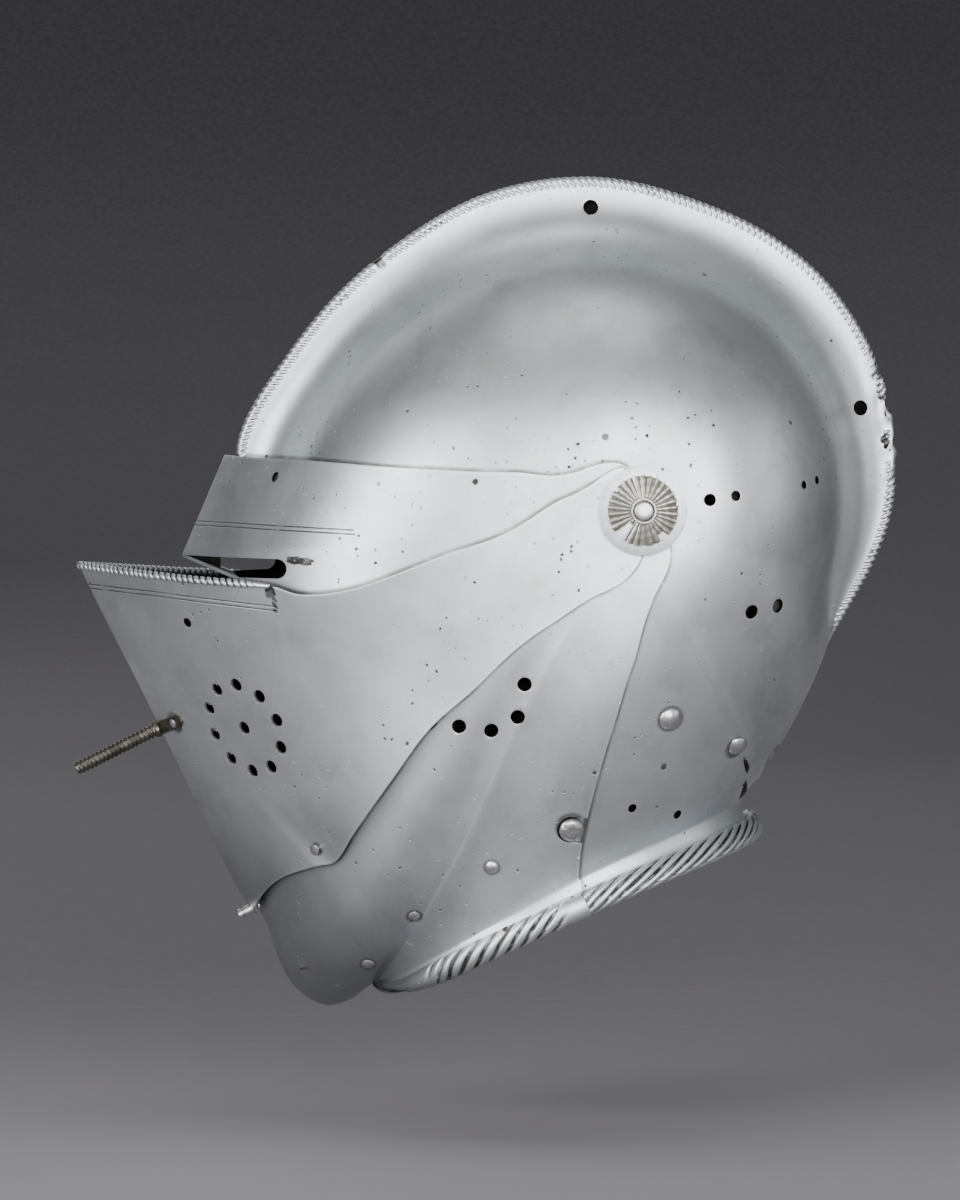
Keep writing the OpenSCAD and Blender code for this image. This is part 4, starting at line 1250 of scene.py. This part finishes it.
def linen(name):
    m = Mat(name)
    waves = []
    for direction in "YZ":
        w = m.t.nodes.new("ShaderNodeTexWave")
        waves.append(w.outputs["Fac"])
        w.bands_direction = direction
        m.link(m.co, w.inputs["Vector"])
        w.inputs["Scale"].default_value = 320
        w.inputs["Distortion"].default_value = 2.0
        w.inputs["Detail"].default_value = 2
    weave = m.mul(*waves)
    n = m.noise(45, 6, 0.65)
    colour = m.blend(m.ramp(n, 0.3, 0.72), (0.060, 0.050, 0.040), (0.030, 0.025, 0.021))
    colour = m.blend(m.mul(weave, 0.55), colour, (0.085, 0.073, 0.058))
    stitch = m.ramp(m.attribute("seam"), 0.5, 0.95)
    colour = m.blend(m.mul(stitch, 0.6), colour, (0.012, 0.010, 0.008))
    m.p.inputs["Sheen Weight"].default_value = 0.25
    return m.finish(colour, 0.9, m.add(m.mul(weave, 0.12), m.mul(n, 0.4)), metal=0.0)


# ---------------------------------------------------------------- quilted lining
def liner_row(th, o, n=26):
    r, front = body_r(th) - o, ease((70 - th) / 60)
    w = SKULL_W - o - 2
    p = [[31, w], [31 + r * mix(0.34, 0.5, front), w], [r, mix(60, 56, front)], [r, 0]]
    q = bez(p, np.arange(n + 1) / n)
    return polar(th, q[:, 0], q[:, 1])


def make_liner():
    outer = [liner_row(th, 6.4) for th in np.linspace(14, 220, 64)]
    inner = [liner_row(th, 12.2) for th in np.linspace(14, 220, 64)]
    ob = shell("liner_shape", outer, inner)
    mod = ob.modifiers.new("mesh", "REMESH")
    mod.mode, mod.voxel_size = "VOXEL", 0.0045
    apply_modifiers(ob)
    rest = points_of(ob)
    cloth = ob.modifiers.new("cloth", "CLOTH")
    s = cloth.settings
    s.quality, s.mass = 4, 0.25
    s.tension_stiffness = s.compression_stiffness = 12
    s.use_pressure, s.uniform_pressure_force = True, 4.0
    s.effector_weights.gravity = 0.0
    cloth.point_cache.frame_start, cloth.point_cache.frame_end = 1, 20
    scene = bpy.context.scene
    for frame_no in range(1, 21):
        scene.frame_set(frame_no)
    apply_modifiers(ob)
    scene.frame_set(1)
    now = points_of(ob)
    move = now - rest
    far = np.linalg.norm(move, axis=1)
    now = rest + move * np.minimum(1, 1.3 / np.maximum(far, 1e-6))[:, None]
    set_points(ob, now)
    mod = ob.modifiers.new("fine", "SUBSURF")
    mod.levels = mod.render_levels = 1
    apply_modifiers(ob)
    # stitched channels: rows every 13 degrees of the fan, and lines along them
    v = points_of(ob)
    n = np.empty(len(v) * 3)
    ob.data.vertices.foreach_get("normal", n)
    n = n.reshape(-1, 3)
    r, th = fan(v)
    lean = np.degrees(np.arctan2(np.abs(v[:, 0]), r))
    gap_a = np.abs((th - 14 + 6.5) % 13 - 6.5) * math.pi / 180 * r
    gap_b = np.abs((lean + 8.5) % 17 - 8.5) * math.pi / 180 * np.hypot(r, v[:, 0])
    gap = np.minimum(gap_a, gap_b)
    seam = np.exp(-(gap / 2.4) ** 2)
    v -= n * (seam * 1.9)[:, None]
    set_points(ob, v)
    field(ob, "seam", np.exp(-(gap / 0.9) ** 2))
    return ob


# ---------------------------------------------------------------- the object
plate_mat = steel("plate_steel", (0.70, 0.735, 0.755), (0.575, 0.61, 0.63), 0.44)
# inner faces near-black: blackened steel, and also painted shade for the dark inside of the shell and behind
# the eye slit
inside_mat = steel("plate_inside", (0.045, 0.041, 0.037), (0.022, 0.019, 0.017), 0.7,
                   wave=0.6, pits=0.6, brown=0.5, marks=False)
rivet_mat = steel("rivet_steel", (0.66, 0.67, 0.67), (0.50, 0.50, 0.49), 0.34,
                  wave=0.1, pits=0.8, brown=0.35, marks=False)
iron_mat = plain_metal("dark_iron", (0.17, 0.155, 0.135), (0.085, 0.075, 0.062), 0.36, bump=0.012, scale=900)
rosette_mat = plain_metal("rosette_metal", (0.50, 0.485, 0.44), (0.33, 0.315, 0.27), 0.36,
                          bump=0.012, scale=700, grime=0.3)
brass_mat = plain_metal("burr_brass", (0.42, 0.33, 0.17), (0.24, 0.19, 0.10), 0.42, bump=0.02, scale=600)
leather_mat, linen_mat = leather("strap_leather"), linen("liner_linen")
# near-black bore walls: painted shade inside the drilled holes
hole_shade_mat = plain_metal("plate_holes", (0.02, 0.018, 0.015), (0.008, 0.007, 0.006), 0.8, bump=0.02, scale=700)
both = [plate_mat, inside_mat, hole_shade_mat]

EDGE = 0.3
upper, lower, visor, skull = make_upper(), make_lower(), make_visor(), make_skull()
for plate, body, node in ((upper, UPPER_BODY, "upper_bevor"), (lower, LOWER_BODY, "lower_bevor"),
                          (visor, VISOR_BODY, "visor"), (skull, SKULL_BODY, "skull")):
    finish_piece(plate, body, node, both, bevel=EDGE)
edges(upper, BORDERS["upper_top"] + BORDERS["upper_low"], [], upper_at,
      [[*FOOT, 3.4], [*BEVOR_RIVET, 1.6]])
edges(lower, BORDERS["lower"], BORDERS["upper_low"], lower_at,
      [[*at, 2.2] for at in LOWER_LINING] + [[*NECK_STUD, 4.9]])
edges(visor, BORDERS["visor"], BORDERS["upper_top"])
edges(skull, [], BORDERS["lower"] + BORDERS["visor"], skull_at, [[y, z, 4.3] for y, z in SKULL_LINING])

# cabled edges
path = resample([polar(t, np.array(comb_r(t) - 2.55), 0.0) for t in np.linspace(3.2, 236, 900)], 0.38)
_, ang = fan(path)
lift = np.array([ease((comb_r(t) - body_r(t)) / 8) for t in ang])
hit = np.clip(1 - np.abs(ang - 162) / 13, 0, 1)
nick = np.clip(1 - np.abs(ang - 45.5) / 1.6, 0, 1)
rad = 2.85 * (0.55 + 0.45 * lift) * (1 - 0.55 * hit * (0.6 + 0.5 * lumps(path, 12, 9))) * (1 - 0.5 * nick)
out = path * [0, 1, 1]
push = (hit ** 0.7 * (1.0 + lumps(path, 9, 3)) * 1.6 + nick * 1.2)[:, None]
path = path - out / np.linalg.norm(out, axis=1)[:, None] * push
path[:, 0] += hit * lumps(path, 11, 4) * 1.8
v, f, deep = rope(path, out, rad, (1.02, 1.0), 2.7, 3.4, 0.75, around=28, seed=2, sharp=0.8)
deep = np.maximum(deep, np.repeat(hit, 28) * np.clip(lumps(v, 4.0, 21) * 1.6, 0, 1))
rope_piece("comb_cable", v, f, deep, SKULL_BODY, plate_mat)

path = resample(rim_path(83, 277, TUCK, 4.2), 0.55)
side = np.minimum(np.arange(len(path)), np.arange(len(path))[::-1]) * 0.55
v, f, deep = rope(path, radial(path, -23), 4.9, (0.74, 1.04), 8.0, -7.6 * np.sign(path[:, 0] + 1e-9), 1.8,
                  around=64, seed=3, plain=np.clip((side - 2) / 6, 0, 1), sharp=0.72, taper=118)
rope_piece("skull_neck_cable", v, f, deep, SKULL_BODY, plate_mat)

path = resample(rim_path(-92, 92, 0, 4.2), 0.55)
s = np.arange(len(path)) * 0.55
side = np.minimum(s, s[::-1])
mid = np.abs(s - s[-1] / 2)
plain = np.clip((side - 8) / 6, 0, 1) * np.clip((mid - 56) / 10, 0, 1)
thin = mix(1.1, 4.9, np.array([ease(x) for x in (mid - 18) / 52]))
turn = -np.sign(path[:, 0] + 1e-9) * np.interp(mid, [50, 90, 150], [3.0, 4.8, 6.4])
v, f, deep = rope(path, radial(path, -23), thin, (0.74, 1.04), 6.9, turn, 1.8, around=64, seed=4, plain=plain,
                  sharp=0.72, taper=118)
rope_piece("bevor_neck_cable", v, f, deep, LOWER_BODY, plate_mat)

# filed edge along the top of the upper bevor
k = bender(UPPER_LOW, UPPER_TOP, 1.0)
row = plain_row(upper_profile(-6.2, 0.5), k, 400, 1.0)
row = row[(np.hypot(row[:, 1], row[:, 2]) > 145)]
path = np.concatenate([row[:-1], (row * [-1, 1, 1])[::-1]])
path = resample(path, 0.35)
s = np.arange(len(path)) * 0.35
side = np.minimum(s, s[::-1])
n = path * [1.0, 0.0, 0.0] + [0, -60.0, 0.0]
v, f, deep = rope(path, n, 1.45 * (0.5 + 0.5 * np.clip(side / 12, 0, 1)), (1.0, 1.15), 3.1, 1.3, 0.75,
                  around=20, seed=5, plain=np.clip((side - 2) / 10, 0, 1), sharp=0.6)
rope_piece("bevor_top_cable", v, f, deep, UPPER_BODY, plate_mat)

# pivots
for side, label in ((1, "left"), (-1, "right")):
    petals, hub = rosette()
    b = Build()
    for part in (petals, hub):
        b.add(*part, side_frame(UPPER_W + 0.35), sides=(side,))
    finish_piece(b.object("rosette_" + label + "_boss"), SKULL_BODY, "rosette_" + label,
                 [rosette_mat], 38)
    b = Build()
    inner_x = SKULL_W - PLATE - 5.6
    head = [[2.8, 3.7], [3.35, 3.7], [3.62, 3.95], [3.62, 4.6], [3.45, 5.0], [2.9, 5.25], [1.5, 5.3], [0, 5.32]]
    v, f = lathe([[0, inner_x], [2.4, inner_x], [2.8, inner_x + 0.4]] + [[x, UPPER_W + y] for x, y in head], 64)
    b.add(v, f, side_frame(0), sides=(side,))
    finish_piece(b.object("bolt_" + label), SKULL_BODY, "pivot_bolt_" + label, [rivet_mat], 40)

# prow stud with its two feet
b = Build()
b.add(*thread(2.8, 35.0, 1.8, 0.62), prow(*PROW_AT, 1.6))
b.add(*lathe([[0, -1.2], [1.5, -1.2], [3.3, 0.2], [3.5, 1.2], [3.1, 1.9], [0, 2.2]], 40), prow(*PROW_AT))
steps, half = 15, []
for t in np.linspace(0, 1.0, steps):
    y, z = mix(-183.2, -174.6, t), mix(-88.0, -84.0, t)
    m = place(upper_at, y, z)
    wid = 2.7 * (math.sqrt(max(0.0, 1 - ((t - 0.72) / 0.29) ** 2)) if t > 0.72 else 1.0) + 0.05
    for x, h in ((-wid, 0.05), (-wid * 0.86, 0.9), (0, 1.05), (wid * 0.86, 0.9), (wid, 0.05)):
        half.append(m[:3, 3] + np.array([0, 0.35, -0.94]) * x + m[:3, 2] * h)
f = grid_faces(steps, 5) + [tuple(range(5)), tuple(range((steps - 1) * 5, steps * 5))]
f += [(i * 5, (i + 1) * 5, (i + 1) * 5 + 4, i * 5 + 4) for i in range(steps - 1)]
b.add(half, f, sides=(1, -1))
finish_piece(b.object("threaded_stud"), UPPER_BODY, "prow_stud", [iron_mat], 40)
rivets("stud_foot_rivets", upper_at, [FOOT], 1.85, 0.6, 1.25, 4.3,
       UPPER_BODY, "prow_stud_rivets", rivet_mat, 31, lift=1.2)
rivets("bevor_rivets", upper_at, [BEVOR_RIVET], 2.2, 0.45, 1.45, 1.9,
       UPPER_BODY, "upper_bevor_rivets", rivet_mat, 33, lift=0.1)
rivets("skull_dome_rivets", skull_at, SKULL_LINING, 4.6, 1.95, 1.45, 7.0,
       SKULL_BODY, "skull_rivets", rivet_mat, 35)
rivets("bevor_dome_rivets", lower_at, LOWER_LINING, 2.6, 1.0, 1.45, 7.0,
       LOWER_BODY, "lower_bevor_rivets", rivet_mat, 39)

# catch button and neck studs
b = Build()
b.add(*lathe([[0, -8], [3.4, -8], [3.4, -7], [2.0, -6.9], [2.0, 2.4], [1.55, 2.75], [1.55, 3.35],
              [2.0, 3.7], [2.0, 5.1], [1.7, 5.45], [0, 5.5]], 36), prow(*CATCH))
finish_piece(b.object("latch_button"), "catch_button_body", "catch_button", [rivet_mat], 40)
for side, label in ((1, "left"), (-1, "right")):
    b = Build()
    r = NECK_STUD_R
    v, f = lathe([[0, -5.4], [r + 1.6, -5.4], [r + 1.6, -4.2], [r, -4.15], [r, 2.9], [r - 0.15, 3.5],
                  [r - 0.7, 4.15], [r - 1.8, 4.5], [2.0, 4.6], [1.0, 4.55], [0, 4.5]], 56)
    b.add(beaten(v, 0.09, 3.2, 51), f, place(skull_at, *NECK_STUD), sides=(side,))
    stud = "neck_stud_" + label
    finish_piece(b.object("stud_" + label), stud + "_body", stud, [rivet_mat], 45)

# straps and lining
strap("skull_leather", skull_at, SKULL_LINING, 239.0, SKULL_BODY, "skull_strap", leather_mat)
strap("bevor_leather", lower_at, LOWER_LINING, -56.5, LOWER_BODY, "lower_bevor_strap", leather_mat)
liner = finish_piece(make_liner(), SKULL_BODY, "quilted_liner", [linen_mat], 70)
liner.name = "quilted_lining"



def is_iron(name):
    return any(word in name for word in ("washer", "nut", "spring"))


# CAD nodes that show as they are
for name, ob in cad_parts.items():
    if ob.hide_render:
        continue
    mat = rivet_mat
    if not name.endswith(("rivet", "rivets")):
        mat = brass_mat if "burr" in name else iron_mat if is_iron(name) else rivet_mat
    ob.data.materials.clear()
    ob.data.materials.append(mat)
    mod = ob.modifiers.new("edge", "BEVEL")
    mod.width, mod.segments, mod.limit_method = 0.25 * MM, 2, "ANGLE"
    mod.angle_limit = math.radians(BEVEL_FROM)

# ---------------------------------------------------------------- studio
FLOOR = -0.247
# a paper sweep: flat to x = -2.3 m, then a slow curve up behind the object
curve = [[6.0, 0.0], [3.0, 0.0], [0.0, 0.0], [-2.3, 0.0]]
bends = np.linspace(0.05, math.pi / 2, 18)
curve += [[-2.3 - 2.6 * math.sin(t), 2.6 - 2.6 * math.cos(t)] for t in bends] + [[-4.9, 5.0]]
wide = np.linspace(-6, 6, 7)
v = [[x * 1000, y * 1000, (z + FLOOR) * 1000] for x, z in curve for y in wide]
f = grid_faces(len(curve), len(wide))
backdrop = Build().add(v, f).object("studio_floor")
backdrop.data.shade_smooth()
m = Mat("studio_paper")
grain = m.noise(180, 4, 0.6)
axis = m.t.nodes.new("ShaderNodeSeparateXYZ")
m.link(m.co, axis.inputs[0])
# painted shade on the paper: darker away from the camera and darker up the wall, standing in for the fall-off
# of light
paper_falloff_and_grain = m.blend(m.ramp(axis.outputs[0], -0.7, 1.0), (0.15, 0.141, 0.153), (0.40, 0.380, 0.403))
paper_falloff_and_grain = m.blend(m.ramp(axis.outputs[2], -0.1, 0.50), paper_falloff_and_grain, (0.075, 0.069, 0.076))
paper_falloff_and_grain = m.blend(m.ramp(grain, 0.3, 0.7, 0.0, 0.10), paper_falloff_and_grain, (0.30, 0.29, 0.30))
m.finish(paper_falloff_and_grain, 0.92, m.mul(grain, 0.05), metal=0.0)
backdrop.data.materials.append(m.m)

world = bpy.data.worlds.new("studio")
bpy.context.scene.world = world
world.use_nodes = True
world.node_tree.nodes["Background"].inputs[0].default_value = (0.62, 0.64, 0.66, 1)
world.node_tree.nodes["Background"].inputs[1].default_value = 0.26


def softbox(name, at, aim, size, power, colour=(1, 1, 1)):
    data = bpy.data.lights.new(name, "AREA")
    data.shape, data.size, data.size_y = "RECTANGLE", size[0], size[1]
    data.energy, data.color = power, colour
    ob = bpy.data.objects.new(name, data)
    bpy.context.scene.collection.objects.link(ob)
    ob.location = at
    ob.rotation_euler = (Vector(aim) - Vector(at)).to_track_quat("-Z", "Y").to_euler()
    ob.visible_camera = False


centre = (0.0, -0.05, -0.03)
softbox("key_front", (1.9, -2.1, 0.5), centre, (1.6, 1.8), 84)
softbox("camera_side", (2.9, 0.5, 0.35), centre, (2.2, 1.6), 100)
softbox("rear_side", (1.0, 2.4, 0.5), centre, (1.4, 1.4), 9)
softbox("top", (0.2, -0.1, 2.5), centre, (1.4, 1.4), 11)
softbox("far_side", (-2.4, -0.6, 1.2), centre, (1.8, 1.8), 12)

camera = bpy.data.cameras.new("camera")
camera.lens, camera.sensor_width, camera.clip_start, camera.clip_end = 165.0, 36.0, 0.05, 50.0
cam = bpy.data.objects.new("camera", camera)
bpy.context.scene.collection.objects.link(cam)
AZ, EL, DIST = math.radians(86), math.radians(2), 2.2
target = Vector((0, -0.0553, -0.0375))
back = Vector((math.sin(AZ) * math.cos(EL), -math.cos(AZ) * math.cos(EL), math.sin(EL)))
cam.location = target + back * DIST
cam.rotation_euler = (-back).to_track_quat("-Z", "Y").to_euler()
bpy.context.scene.camera = cam
